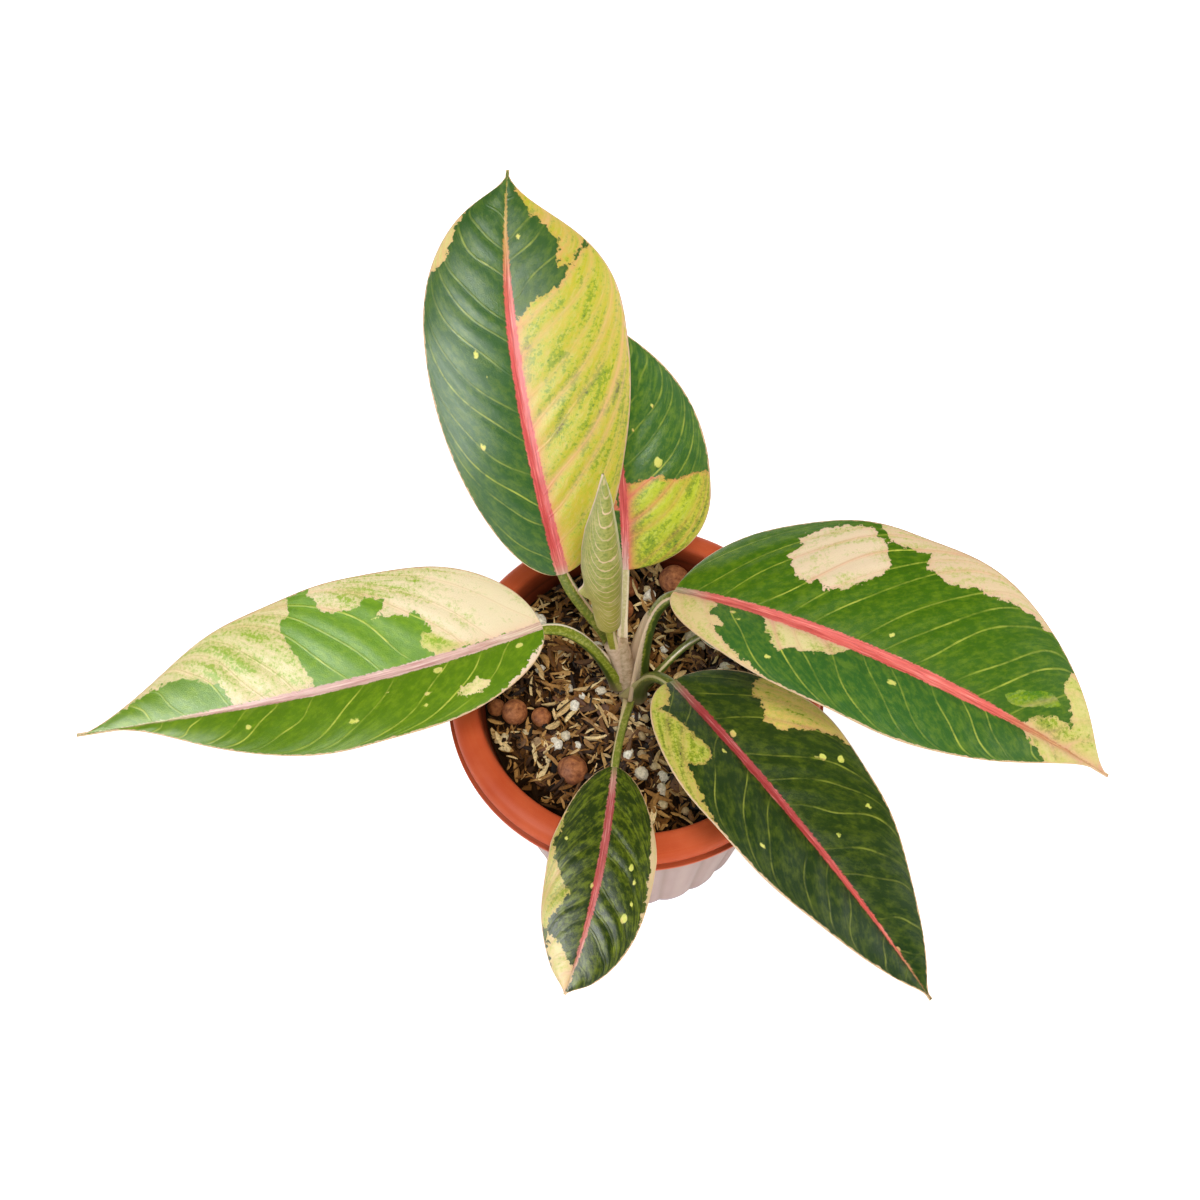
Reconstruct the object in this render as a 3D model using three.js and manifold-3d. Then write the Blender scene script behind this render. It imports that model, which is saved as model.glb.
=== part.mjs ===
// A variegated Chinese evergreen growing in a double plastic pot.
// Millimetres, +Z up. The origin is the middle of the outer pot's base, on the surface it stands on.
// The plant's front faces -Y.
import * as THREE from 'three';
import { mergeVertices } from 'three/addons/utils/BufferGeometryUtils.js';
import Module from 'manifold-3d';

const wasm = await Module();
wasm.setup();

// Driving dimensions: the pots
const POT_HEIGHT = 128;
const RIM_OUTER = 75;
const RIM_INNER = 63;
const RIM_DEPTH = 11;
const RIM_UNDERSIDE = 3.6;
const RIM_BLEND = 4;
const RIM_STEP = 0.5;
const WALL = 1.7;
const OUTER_BASE = 51;
const OUTER_TOP = 69.6;
const FLUTES = 22;
const FLUTE_DEPTH = 1.1;
const FLUTE_COLUMNS = 4;
const FOOT_WIDTH = 6;
const BASE_RECESS = 1.2;
const GATE_RADIUS = 14;
const INNER_BASE_Z = 6;
const INNER_BASE = 46;
const INNER_BEVEL = 2;
const DRAIN_HOLES = 6;
const DRAIN_RADIUS = 4;
const DRAIN_RING = 27;
const DRAIN_SIDES = 10;
const POT_SIDES = 40;
const GAP = 0.3;
// The rim's section from its underside over the top, as millimetres in from its outside and down
const RIM_SECTION = [
  [RIM_UNDERSIDE, RIM_UNDERSIDE], [2, 6], [1.6, RIM_DEPTH], [0, RIM_DEPTH], [0, 9], [0.8, 8.5],
  [1.1, 5.5], [2.8, 2.6], [5.8, 0.7], [9, 0], [11.2, 0.4], [RIM_OUTER - RIM_INNER, 1.6],
];

// Driving dimensions: the potting mix and the clay balls
const MIX_DEPTH_BELOW_RIM = 15;
const MIX_TOP = POT_HEIGHT - MIX_DEPTH_BELOW_RIM;
const MIX_RELIEF = 1.1;
const MIX_SINK = 0.35;
const MIX_RINGS = 5;
const MIX_SEED = 7;
const HULLS = 72;
const HULL_LENGTH = 10;
const HULL_SHORTEST = 0.8;
const HULL_VARIATION = 0.3;
const HULL_WIDTH = 3;
const HULL_HEIGHT = 2.2;
const HULL_LIFT = 0.4;
const HULL_PILE = 0.8;
const HULL_MARGIN = 0.5;
const PERLITE_CRUMBS = 14;
const PERLITE_SIZE = 3.5;
const PERLITE_SPREAD = 2;
const PERLITE_LIFT = 1;
const GRAIN_TILT = 1.2;
const GRAIN_ROLL = 0.9;
const CLAY_DENT = 0.05;
const CLAY_SEED = 30;
const CLAY_BALLS = [
  { at: [-48.6, -5.8, 116.5], radius: 5.4 },
  { at: [-56.2, -1.2, 111.8], radius: 3.8 },
  { at: [-38.2, -7.6, 114.0], radius: 4.3 },
  { at: [-26.6, -31.4, 115.4], radius: 6.3 },
  { at: [-20.0, -42.0, 113.6], radius: 5.0 },
  { at: [19.0, 50.2, 117.0], radius: 6.5 },
  { at: [-0.6, 49.4, 114.6], radius: 4.7 },
  { at: [-3.0, 39.0, 114.8], radius: 4.7 },
];

// Driving dimensions: the stem and its roots
const STEM_FOOT = new THREE.Vector3(-1.5, -1.2, MIX_TOP);
const STEM_TIP = new THREE.Vector3(-5.8, 5.8, 151);
const STEM_FOOT_RADIUS = 6.4;
const STEM_TIP_RADIUS = 3.4;
const STEM_BURIED = 26;
const STEM_UPRIGHT = 12;
const STEM_RINGS = 10;
const STEM_SIDES = 12;
const ROOTS = 5;
const ROOT_LENGTH = 42;
const ROOT_RADIUS = 2;
const ROOT_TAPER = 0.5;
const ROOT_FIRST_Z = 4;
const ROOT_STEP_Z = 2;
const ROOT_OFFSET = 0.2;
const ROOT_REACH = 0.75;
const ROOT_BEND = 0.6;
const ROOT_RINGS = 4;
const ROOT_SIDES = 5;

// Driving dimensions: the leaves. Each blade grows from base along a midrib that starts at heading
// and rise (degrees), turns sideways by sweep and sway, and ends at the second rise. left and right
// are the widths of its halves, widest is where along it they are reached, and the shape numbers
// bend the outline towards base and tip. fold lifts each half from the midrib, camber rolls it over.
const LEAVES = {
  leaf_north: {
    base: [-25.3, 13, 193.7], heading: 109, sweep: -18, sway: -9, rise: [59, 24.5], roll: [-3, -3],
    length: 146.5, left: 32, right: 40, widest: 0.54, baseShape: 1.55, tipShape: 3.4,
    tipLeft: 1.2, tipRight: 1.45, foldLeft: 8.5, foldRight: 14, camber: 34, ripple: 0.9,
    stalk: 2.4, socket: { azimuth: 118, z: 127, lean: 18 }, reach: [30, 16],
  },
  leaf_northeast: {
    base: [-2, 24, 175], heading: 88, sweep: 7, sway: 20, rise: [69, 36], roll: [1.5, 0],
    length: 105.5, left: 30, right: 33, widest: 0.3, baseShape: 2, tipShape: 2.8,
    tipLeft: 1, tipRight: 1.45, foldLeft: 14, foldRight: 13, camber: 30, ripple: 0.7,
    stalk: 1.9, socket: { azimuth: 80, z: 146, lean: 25 }, reach: [10, 10],
  },
  leaf_west: {
    base: [-34.3, 3.8, 172.4], heading: 201, sweep: -32.5, sway: 11, rise: [2, -14], roll: [-4, -3],
    length: 181, left: 26.5, right: 39.5, widest: 0.34, baseShape: 2.1, tipShape: 2.95,
    tipLeft: 3.4, tipRight: 1.8, foldLeft: 16, foldRight: 21, camber: 21, ripple: 1.2,
    stalk: 2.3, socket: { azimuth: 178, z: 124, lean: 14 }, reach: [32, 12],
  },
  leaf_east: {
    base: [15.3, 9.2, 185], heading: -30, sweep: -4, sway: 8.5, rise: [24.5, -26], roll: [-3, 15.5],
    length: 171, left: 50, right: 29, widest: 0.42, baseShape: 1.8, tipShape: 2.9,
    tipLeft: 1.25, tipRight: 2.05, foldLeft: 11, foldRight: 26.5, camber: 24.5, ripple: 1.1,
    stalk: 2.5, socket: { azimuth: 15, z: 122, lean: 4 }, reach: [40, 12],
  },
  leaf_southeast: {
    base: [13.2, -15.4, 159], heading: -58, sweep: 8, sway: -4.5, rise: [15, -27.5], roll: [-8, -3.5],
    length: 150, left: 36, right: 30, widest: 0.34, baseShape: 2, tipShape: 2,
    tipLeft: 1.1, tipRight: 1.05, foldLeft: 12, foldRight: 27, camber: 19.5, ripple: 0.9,
    stalk: 2.3, socket: { azimuth: -45, z: 120, lean: 10 }, reach: [26, 10],
  },
  leaf_south: {
    base: [-10, -38.6, 134.5], heading: -97, sweep: -10.5, sway: -10, rise: [11, -29.5], roll: [-5.5, 2.5],
    length: 89, left: 21, right: 21, widest: 0.39, baseShape: 1.3, tipShape: 3.1,
    tipLeft: 0.85, tipRight: 0.8, foldLeft: 7, foldRight: 9, camber: 40, ripple: 0.7,
    stalk: 1.7, socket: { azimuth: -95, z: 117, lean: 40 }, reach: [14, 16],
  },
  leaf_lower_east: {
    base: [25, 8, 150], heading: 14, sweep: 4, sway: 0, rise: [12, -18], roll: [0, 0],
    length: 88, left: 20, right: 20, widest: 0.4, baseShape: 1.6, tipShape: 3,
    tipLeft: 0.9, tipRight: 0.9, foldLeft: 10, foldRight: 10, camber: 30, ripple: 0.7,
    stalk: 1.5, socket: { azimuth: -8, z: 118, lean: 25 }, reach: [20, 10],
  },
};
const BLADE_THICKNESS = 0.8;
const BLADE_STATIONS = 18;
const BLADE_STRIPS = 4;
const BLADE_TIP_WIDTH = 0.7;
const STATION_CROWDING = 0.6;
const RIB_DEPTH = 1.1;
const RIB_TAPER = 0.8;
const RIPPLES = 3.4;
const MIDRIB_STEPS = 72;
const STALK_RINGS = 12;
const STALK_SIDES = 8;
const STALK_OVERLAP = 6;
const STALK_SEAT = 0.9;
const STALK_DROP = 0.2;
const STALK_SLIM_FROM = 0.8;
const STALK_SLIMMING = 0.25;
const SOCKET_DEPTH = 1.5;
const SHEATH_END = 0.35;
const SHEATH_FLARE = 0.45;

// Driving dimensions: the youngest leaf, still rolled round itself
const ROLLED_BASE = new THREE.Vector3(-9.4, 4.3, 168);
const ROLLED_TIP = new THREE.Vector3(-9.2, 2.6, 277);
const ROLLED_RADIUS = 7.5;
const ROLLED_WIDEST = 0.35;
const ROLLED_FOOT = 0.9;
const ROLLED_TAPER = 1.6;
const ROLLED_POINT = 0.04;
const ROLLED_STEP = 0.2;
const ROLLED_SIDES = 14;
const ROLLED_STALK = 1.9;
const ROLLED_STALK_RINGS = 6;
const ROLLED_SOCKET = { azimuth: 215, z: 147, lean: 12 };
const ROLLED_REACH = 8;
const ROLLED_OVERLAP = 5;

// The colours of what each piece is made of
const COLOURS = {
  inner_pot: [0xb5502c, 0.42], outer_pot: [0xd3b8aa, 0.5], potting_mix: [0x6f5138, 0.95],
  clay: [0x8f5238, 0.9], stem: [0x9a9a62, 0.6], leaf: [0x2f6a2a, 0.4], rolled_leaf: [0x9fae62, 0.45],
};

const radians = THREE.MathUtils.degToRad;
const lerp = THREE.MathUtils.lerp;

// A seeded random number maker, so that every build places the grains alike
function seeded(seed) {
  let state = seed;
  return () => {
    state = (state * 1664525 + 1013904223) % 4294967296;
    return state / 4294967296;
  };
}

// A closed geometry as a solid for joins and cuts, its shared corners merged
function solidOf(geometry) {
  const bare = new THREE.BufferGeometry();
  bare.setAttribute('position', geometry.getAttribute('position').clone());
  if (geometry.index) bare.setIndex(geometry.index.clone());
  const merged = mergeVertices(bare, 1e-4);
  const corners = [];
  const index = merged.index.array;
  for (let i = 0; i < index.length; i += 3) {
    const [a, b, c] = [index[i], index[i + 1], index[i + 2]];
    if (a !== b && b !== c && c !== a) corners.push(a, b, c);
  }
  return new wasm.Manifold(new wasm.Mesh({
    numProp: 3,
    vertProperties: new Float32Array(merged.getAttribute('position').array),
    triVerts: new Uint32Array(corners),
  }));
}

function geometryOf(solid) {
  const mesh = solid.getMesh();
  const geometry = new THREE.BufferGeometry();
  geometry.setAttribute('position', new THREE.BufferAttribute(mesh.vertProperties, 3));
  geometry.setIndex(new THREE.BufferAttribute(mesh.triVerts, 1));
  return geometry;
}

// The largest of a solid's bodies: a cut near the crown can leave a loose scrap, which is dropped
function largestBody(solid) {
  return solid.decompose().reduce((a, b) => (a.volume() > b.volume() ? a : b));
}

// A profile of [radius, z] pairs turned about the Z axis
function turned(profile, sides) {
  const points = profile.map(([radius, z]) => new THREE.Vector2(radius, z));
  return new THREE.LatheGeometry(points, sides).rotateX(Math.PI / 2);
}

// A closed grid: rings of points joined by quads, with a fan over each end
function closedRings(rings, startPoint, endPoint) {
  const sides = rings[0].length;
  const points = [...rings.flat(), startPoint, endPoint];
  const start = points.length - 2;
  const end = points.length - 1;
  const index = [];
  for (let i = 0; i < rings.length - 1; i += 1) {
    for (let j = 0; j < sides; j += 1) {
      const a = i * sides + j;
      const b = i * sides + (j + 1) % sides;
      index.push(a, b, b + sides, a, b + sides, a + sides);
    }
  }
  const last = (rings.length - 1) * sides;
  for (let j = 0; j < sides; j += 1) {
    const next = (j + 1) % sides;
    index.push(start, next, j, end, last + j, last + next);
  }
  const geometry = new THREE.BufferGeometry().setFromPoints(points);
  geometry.setIndex(index);
  return geometry;
}

// A round limb along a curve, its radius a function of the way along and the angle round it
function limb(curve, ringCount, sides, radiusAt) {
  const frames = curve.computeFrenetFrames(ringCount, false);
  const rings = [];
  for (let i = 0; i <= ringCount; i += 1) {
    const t = i / ringCount;
    const middle = curve.getPointAt(t);
    const ring = [];
    for (let j = 0; j < sides; j += 1) {
      const angle = j / sides * 2 * Math.PI;
      const radius = radiusAt(t, angle);
      ring.push(middle.clone()
        .addScaledVector(frames.normals[i], radius * Math.cos(angle))
        .addScaledVector(frames.binormals[i], radius * Math.sin(angle)));
    }
    rings.push(ring);
  }
  return closedRings(rings, curve.getPointAt(0), curve.getPointAt(1));
}

// Inner wall of the inner pot at a height, which the potting mix fits against
function innerWallRadius(z) {
  const floorZ = INNER_BASE_Z + WALL;
  const share = (z - floorZ) / (POT_HEIGHT - RIM_BLEND - floorZ);
  return lerp(INNER_BASE - WALL, RIM_INNER - RIM_STEP, share);
}

function innerPot() {
  const floorZ = INNER_BASE_Z + WALL;
  const blendZ = POT_HEIGHT - RIM_BLEND;
  const profile = [
    [0, INNER_BASE_Z], [INNER_BASE - INNER_BEVEL, INNER_BASE_Z], [INNER_BASE, INNER_BASE_Z + INNER_BEVEL],
    [RIM_INNER - RIM_STEP + WALL, POT_HEIGHT - RIM_UNDERSIDE],
    ...RIM_SECTION.map(([inward, down]) => [RIM_OUTER - inward, POT_HEIGHT - down]),
    [innerWallRadius(blendZ), blendZ], [innerWallRadius(floorZ), floorZ], [0, floorZ],
  ];
  let pot = solidOf(turned(profile, POT_SIDES));
  const drill = new THREE.CylinderGeometry(DRAIN_RADIUS, DRAIN_RADIUS, 4 * WALL, DRAIN_SIDES)
    .rotateX(Math.PI / 2);
  for (let i = 0; i < DRAIN_HOLES; i += 1) {
    const turn = (i + 0.5) / DRAIN_HOLES * 2 * Math.PI;
    const x = DRAIN_RING * Math.cos(turn);
    const y = DRAIN_RING * Math.sin(turn);
    pot = pot.subtract(solidOf(drill.clone().translate(x, y, INNER_BASE_Z + WALL / 2)));
  }
  return geometryOf(pot);
}

// The outer pot: a tapering wall with shallow upright flutes, standing on a foot ring and a centre pad
function outerPot() {
  const top = POT_HEIGHT - RIM_UNDERSIDE - GAP;
  const inside = FLUTE_DEPTH + WALL;
  const profile = [
    [0, 0], [GATE_RADIUS, 0], [GATE_RADIUS, BASE_RECESS], [OUTER_BASE - FOOT_WIDTH, BASE_RECESS],
    [OUTER_BASE - FOOT_WIDTH, 0], [OUTER_BASE, 0], [OUTER_TOP, top], [OUTER_TOP - inside, top],
    [OUTER_BASE - inside, WALL + BASE_RECESS], [0, WALL + BASE_RECESS],
  ];
  const geometry = turned(profile, FLUTE_COLUMNS * FLUTES);
  const position = geometry.getAttribute('position');
  for (let i = 0; i < position.count; i += 1) {
    const radius = Math.hypot(position.getX(i), position.getY(i));
    const wallRadius = lerp(OUTER_BASE, OUTER_TOP, position.getZ(i) / top);
    const column = Math.floor(i / profile.length);
    const sunk = Math.abs(radius - wallRadius) < 0.01 && column % FLUTE_COLUMNS >= FLUTE_COLUMNS / 2;
    const factor = sunk ? (radius - FLUTE_DEPTH) / radius : 1;
    position.setXY(i, position.getX(i) * factor, position.getY(i) * factor);
  }
  return geometry;
}

const STEM_CURVE = new THREE.QuadraticBezierCurve3(
  new THREE.Vector3(STEM_FOOT.x, STEM_FOOT.y, MIX_TOP - STEM_BURIED),
  new THREE.Vector3(STEM_FOOT.x, STEM_FOOT.y, MIX_TOP + STEM_UPRIGHT),
  STEM_TIP,
);

function stemRadius(t) {
  return lerp(STEM_FOOT_RADIUS, STEM_TIP_RADIUS, t * t);
}

// The short stem with its thick roots, made slimmer or fatter by a clearance
function stemSolid(clearance) {
  let stem = solidOf(limb(STEM_CURVE, STEM_RINGS, STEM_SIDES, (t) => stemRadius(t) + clearance));
  for (let i = 0; i < ROOTS; i += 1) {
    const turn = (i + ROOT_OFFSET) / ROOTS * 2 * Math.PI;
    const out = new THREE.Vector3(Math.cos(turn), Math.sin(turn), 0);
    const z = MIX_TOP - STEM_BURIED + ROOT_FIRST_Z + ROOT_STEP_Z * i;
    const start = new THREE.Vector3(STEM_FOOT.x, STEM_FOOT.y, z);
    const end = start.clone().addScaledVector(out, ROOT_REACH * ROOT_LENGTH);
    end.z -= ROOT_BEND * ROOT_LENGTH;
    const bend = start.clone().addScaledVector(out, ROOT_BEND * ROOT_LENGTH);
    const curve = new THREE.QuadraticBezierCurve3(start, bend, end);
    const radiusAt = (t) => ROOT_RADIUS * (1 - ROOT_TAPER * t) + clearance;
    stem = stem.add(solidOf(limb(curve, ROOT_RINGS, ROOT_SIDES, radiusAt)));
  }
  return stem;
}

// The frame of a midrib at u, from 0 at the blade's base to 1 at its tip: along it, across it to the
// left, and out of the upper face
function midribFrame(leaf, u) {
  const rise = radians(lerp(leaf.rise[0], leaf.rise[1], u));
  const heading = radians(leaf.heading + leaf.sweep * u + leaf.sway * u * u);
  const roll = radians(lerp(leaf.roll[0], leaf.roll[1], u));
  const along = new THREE.Vector3(
    Math.cos(rise) * Math.cos(heading), Math.cos(rise) * Math.sin(heading), Math.sin(rise));
  const level = new THREE.Vector3(-Math.sin(heading), Math.cos(heading), 0);
  const up = along.clone().cross(level);
  const across = level.clone().multiplyScalar(Math.cos(roll)).addScaledVector(up, Math.sin(roll));
  const out = level.clone().multiplyScalar(-Math.sin(roll)).addScaledVector(up, Math.cos(roll));
  return { along, across, out };
}

// Points along a midrib at even steps, by adding up its direction
function midribPoints(leaf) {
  const points = [new THREE.Vector3(...leaf.base)];
  for (let i = 0; i < MIDRIB_STEPS; i += 1) {
    const { along } = midribFrame(leaf, (i + 0.5) / MIDRIB_STEPS);
    points.push(points[i].clone().addScaledVector(along, leaf.length / MIDRIB_STEPS));
  }
  return points;
}

// Width of one half of a blade at u
function halfWidth(leaf, side, u) {
  const width = side > 0 ? leaf.left : leaf.right;
  const towardsTip = side > 0 ? leaf.tipLeft : leaf.tipRight;
  const fromBase = (leaf.widest - u) / leaf.widest;
  const fromWidest = (u - leaf.widest) / (1 - leaf.widest);
  const share = u < leaf.widest
    ? Math.sqrt(1 - fromBase ** leaf.baseShape)
    : (1 - Math.min(fromWidest, 1) ** leaf.tipShape) ** towardsTip;
  return Math.max(width * share, BLADE_TIP_WIDTH);
}

// One blade: an upper and a lower sheet of alike triangles, closed along the margin. The lower sheet
// hangs deeper under the midrib, as its rib.
function blade(leaf) {
  const spine = midribPoints(leaf);
  const upper = [];
  const lower = [];
  const strips = 2 * BLADE_STRIPS;
  for (let i = 0; i <= BLADE_STATIONS; i += 1) {
    const t = i / BLADE_STATIONS;
    const u = t - STATION_CROWDING * Math.sin(2 * Math.PI * t) / (2 * Math.PI);
    const { across, out } = midribFrame(leaf, u);
    const step = u * MIDRIB_STEPS;
    const low = Math.min(Math.floor(step), MIDRIB_STEPS - 1);
    const middle = spine[low].clone().lerp(spine[low + 1], step - low);
    for (let j = 0; j <= strips; j += 1) {
      const side = j < BLADE_STRIPS ? 1 : -1;
      const v = Math.abs(j - BLADE_STRIPS) / BLADE_STRIPS;
      const width = halfWidth(leaf, side, u);
      const fold = radians(side > 0 ? leaf.foldLeft : leaf.foldRight);
      const camber = radians(leaf.camber);
      const slope = fold - camber * v;
      const reach = width * (Math.sin(fold) - Math.sin(slope)) / camber;
      const fade = v * v * Math.sin(Math.PI * u);
      const wave = leaf.ripple * Math.sin(2 * Math.PI * RIPPLES * u + side) * fade;
      const lift = width * (Math.cos(slope) - Math.cos(fold)) / camber + wave;
      const point = middle.clone().addScaledVector(across, side * reach).addScaledVector(out, lift);
      const rib = v === 0 ? leaf.stalk * RIB_DEPTH * (1 - u) ** RIB_TAPER : 0;
      const normal = out.clone()
        .multiplyScalar(Math.cos(slope))
        .addScaledVector(across, -side * Math.sin(slope));
      upper.push(point);
      lower.push(point.clone().addScaledVector(normal, -(BLADE_THICKNESS + rib)));
    }
  }
  const row = strips + 1;
  const count = upper.length;
  const index = [];
  const quad = (a, b, c, d) => index.push(a, b, c, a, c, d);
  for (let i = 0; i < BLADE_STATIONS; i += 1) {
    for (let j = 0; j < strips; j += 1) {
      const a = i * row + j;
      index.push(a, a + 1, a + row + 1, a, a + row + 1, a + row);
      index.push(count + a, count + a + row + 1, count + a + 1);
      index.push(count + a, count + a + row, count + a + row + 1);
    }
    const left = i * row;
    const right = left + strips;
    quad(left, left + row, count + left + row, count + left);
    quad(right, count + right, count + right + row, right + row);
  }
  const tip = BLADE_STATIONS * row;
  for (let j = 0; j < strips; j += 1) {
    quad(j, count + j, count + j + 1, j + 1);
    quad(tip + j, tip + j + 1, count + tip + j + 1, count + tip + j);
  }
  const geometry = new THREE.BufferGeometry().setFromPoints([...upper, ...lower]);
  geometry.setIndex(index);
  return geometry;
}

// Where a leaf stalk leaves the stem, and the direction that it sets out in
function socketOf(socket) {
  const t = (socket.z - MIX_TOP + STEM_BURIED) / (STEM_TIP.z - MIX_TOP + STEM_BURIED);
  const middle = STEM_CURVE.getPointAt(t);
  const turn = radians(socket.azimuth);
  const lean = radians(socket.lean);
  const out = new THREE.Vector3(Math.cos(turn), Math.sin(turn), 0);
  const start = middle.addScaledVector(out, stemRadius(t) - SOCKET_DEPTH);
  const along = out.clone().multiplyScalar(Math.sin(lean)).add(new THREE.Vector3(0, 0, Math.cos(lean)));
  return { start, along };
}

// A stalk: it leaves the stem as a flared sheath and ends a little way under the blade
function stalkSolid(leaf, clearance) {
  const { start, along: away } = socketOf(leaf.socket);
  const { along, out } = midribFrame(leaf, 0);
  const end = new THREE.Vector3(...leaf.base)
    .addScaledVector(along, STALK_OVERLAP)
    .addScaledVector(out, -STALK_SEAT * leaf.stalk - STALK_DROP);
  const curve = new THREE.CubicBezierCurve3(
    start,
    start.clone().addScaledVector(away, leaf.reach[0]),
    end.clone().addScaledVector(along, -leaf.reach[1] - STALK_OVERLAP),
    end,
  );
  const radiusAt = (t) => {
    const flare = Math.max(0, 1 - t / SHEATH_END) ** 2 * SHEATH_FLARE;
    const slim = 1 - STALK_SLIMMING * Math.max(0, t - STALK_SLIM_FROM) / (1 - STALK_SLIM_FROM);
    return leaf.stalk * (1 + flare) * slim + clearance;
  };
  return solidOf(limb(curve, STALK_RINGS, STALK_SIDES, radiusAt));
}

// The rolled leaf: a spindle with a step where its edge wraps over, on a short stalk of its own
function rolledLeafSolid(clearance) {
  const roll = new THREE.LineCurve3(ROLLED_BASE, ROLLED_TIP);
  const profile = (t) => (t < ROLLED_WIDEST
    ? Math.sqrt(1 - ROLLED_FOOT * ((ROLLED_WIDEST - t) / ROLLED_WIDEST) ** 2)
    : Math.max(1 - ((t - ROLLED_WIDEST) / (1 - ROLLED_WIDEST)) ** ROLLED_TAPER, ROLLED_POINT));
  const wrap = (angle) => 1 - ROLLED_STEP * angle / (2 * Math.PI);
  const radiusAt = (t, angle) => ROLLED_RADIUS * profile(t) * wrap(angle) + clearance;
  const spindle = solidOf(limb(roll, ROLLED_SIDES, ROLLED_SIDES, radiusAt));
  const { start, along } = socketOf(ROLLED_SOCKET);
  const end = ROLLED_BASE.clone().add(new THREE.Vector3(0, 0, ROLLED_OVERLAP));
  const curve = new THREE.CubicBezierCurve3(
    start,
    start.clone().addScaledVector(along, ROLLED_REACH),
    end.clone().add(new THREE.Vector3(0, 0, -ROLLED_REACH)),
    end,
  );
  const stalk = limb(curve, ROLLED_STALK_RINGS, STALK_SIDES, () => ROLLED_STALK + clearance);
  return spindle.add(solidOf(stalk));
}

// The leaves in order of age: each is cut clear of the stem and of the stalks before it
function leafGeometries(stemClear) {
  const made = {};
  const taken = [stemClear];
  for (const [name, leaf] of Object.entries(LEAVES)) {
    let solid = stalkSolid(leaf, 0).add(solidOf(blade(leaf)));
    for (const other of taken) solid = solid.subtract(other);
    made[name] = geometryOf(largestBody(solid));
    taken.push(stalkSolid(leaf, GAP));
  }
  let rolled = rolledLeafSolid(0);
  for (const other of taken) rolled = rolled.subtract(other);
  made.leaf_new_rolled = geometryOf(largestBody(rolled));
  return made;
}

// A grain of the mix: a spindle of eight faces laid at a random tilt
function grain(random, length, width, height, x, y, z) {
  const shape = new THREE.OctahedronGeometry(1).scale(length / 2, width / 2, height / 2);
  shape.rotateX((random() - 0.5) * GRAIN_TILT);
  shape.rotateY((random() - 0.5) * GRAIN_ROLL);
  shape.rotateZ(random() * Math.PI);
  return solidOf(shape.translate(x, y, z));
}

// The potting mix fills the inner pot to below its rim: a rough top, strewn with hulls and crumbs
function pottingMix(stemClear) {
  const random = seeded(MIX_SEED);
  const floorZ = INNER_BASE_Z + WALL + GAP;
  const topRadius = innerWallRadius(MIX_TOP) - GAP;
  const profile = [[0, floorZ], [innerWallRadius(floorZ) - GAP, floorZ], [topRadius, MIX_TOP]];
  for (let i = MIX_RINGS - 1; i >= 0; i -= 1) profile.push([topRadius * i / MIX_RINGS, MIX_TOP]);
  const body = turned(profile, POT_SIDES).deleteAttribute('normal').deleteAttribute('uv');
  const rough = mergeVertices(body, 1e-3);
  const position = rough.getAttribute('position');
  for (let i = 0; i < position.count; i += 1) {
    const radius = Math.hypot(position.getX(i), position.getY(i));
    const onTop = position.getZ(i) > MIX_TOP - 0.1 && radius < topRadius - 1;
    if (onTop) position.setZ(i, MIX_TOP + (random() - MIX_SINK) * 2 * MIX_RELIEF);
  }
  let mix = solidOf(rough);
  const spread = topRadius - HULL_LENGTH / 2 - HULL_MARGIN;
  for (let i = 0; i < HULLS; i += 1) {
    const radius = spread * Math.sqrt(random());
    const turn = random() * 2 * Math.PI;
    const z = MIX_TOP + HULL_LIFT + random() * HULL_PILE;
    const length = HULL_LENGTH * (HULL_SHORTEST + HULL_VARIATION * random());
    const place = [radius * Math.cos(turn), radius * Math.sin(turn), z];
    mix = mix.add(grain(random, length, HULL_WIDTH, HULL_HEIGHT, ...place));
  }
  for (let i = 0; i < PERLITE_CRUMBS; i += 1) {
    const radius = spread * Math.sqrt(random());
    const turn = random() * 2 * Math.PI;
    const size = PERLITE_SIZE + PERLITE_SPREAD * random();
    const place = [radius * Math.cos(turn), radius * Math.sin(turn), MIX_TOP + PERLITE_LIFT];
    mix = mix.add(grain(random, size, size, size, ...place));
  }
  for (const ball of CLAY_BALLS) {
    mix = mix.subtract(solidOf(new THREE.IcosahedronGeometry(ball.radius + GAP, 1).translate(...ball.at)));
  }
  mix = mix.subtract(stemClear);
  for (const leaf of Object.values(LEAVES)) mix = mix.subtract(stalkSolid(leaf, GAP));
  return geometryOf(largestBody(mix));
}

// A fired clay ball, a little uneven
function clayBall(ball, seed) {
  const random = seeded(seed);
  const sphere = new THREE.IcosahedronGeometry(ball.radius, 1)
    .deleteAttribute('normal')
    .deleteAttribute('uv');
  const geometry = mergeVertices(sphere, 1e-4);
  const position = geometry.getAttribute('position');
  for (let i = 0; i < position.count; i += 1) {
    const dent = 1 - CLAY_DENT * random();
    position.setXYZ(i, position.getX(i) * dent, position.getY(i) * dent, position.getZ(i) * dent);
  }
  return geometry.translate(...ball.at);
}

const plant = new THREE.Group();

function addPiece(name, geometry, [colour, roughness]) {
  geometry.computeVertexNormals();
  const material = new THREE.MeshStandardMaterial({ color: colour, roughness, metalness: 0 });
  const mesh = new THREE.Mesh(geometry, material);
  mesh.name = name;
  plant.add(mesh);
}

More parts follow.
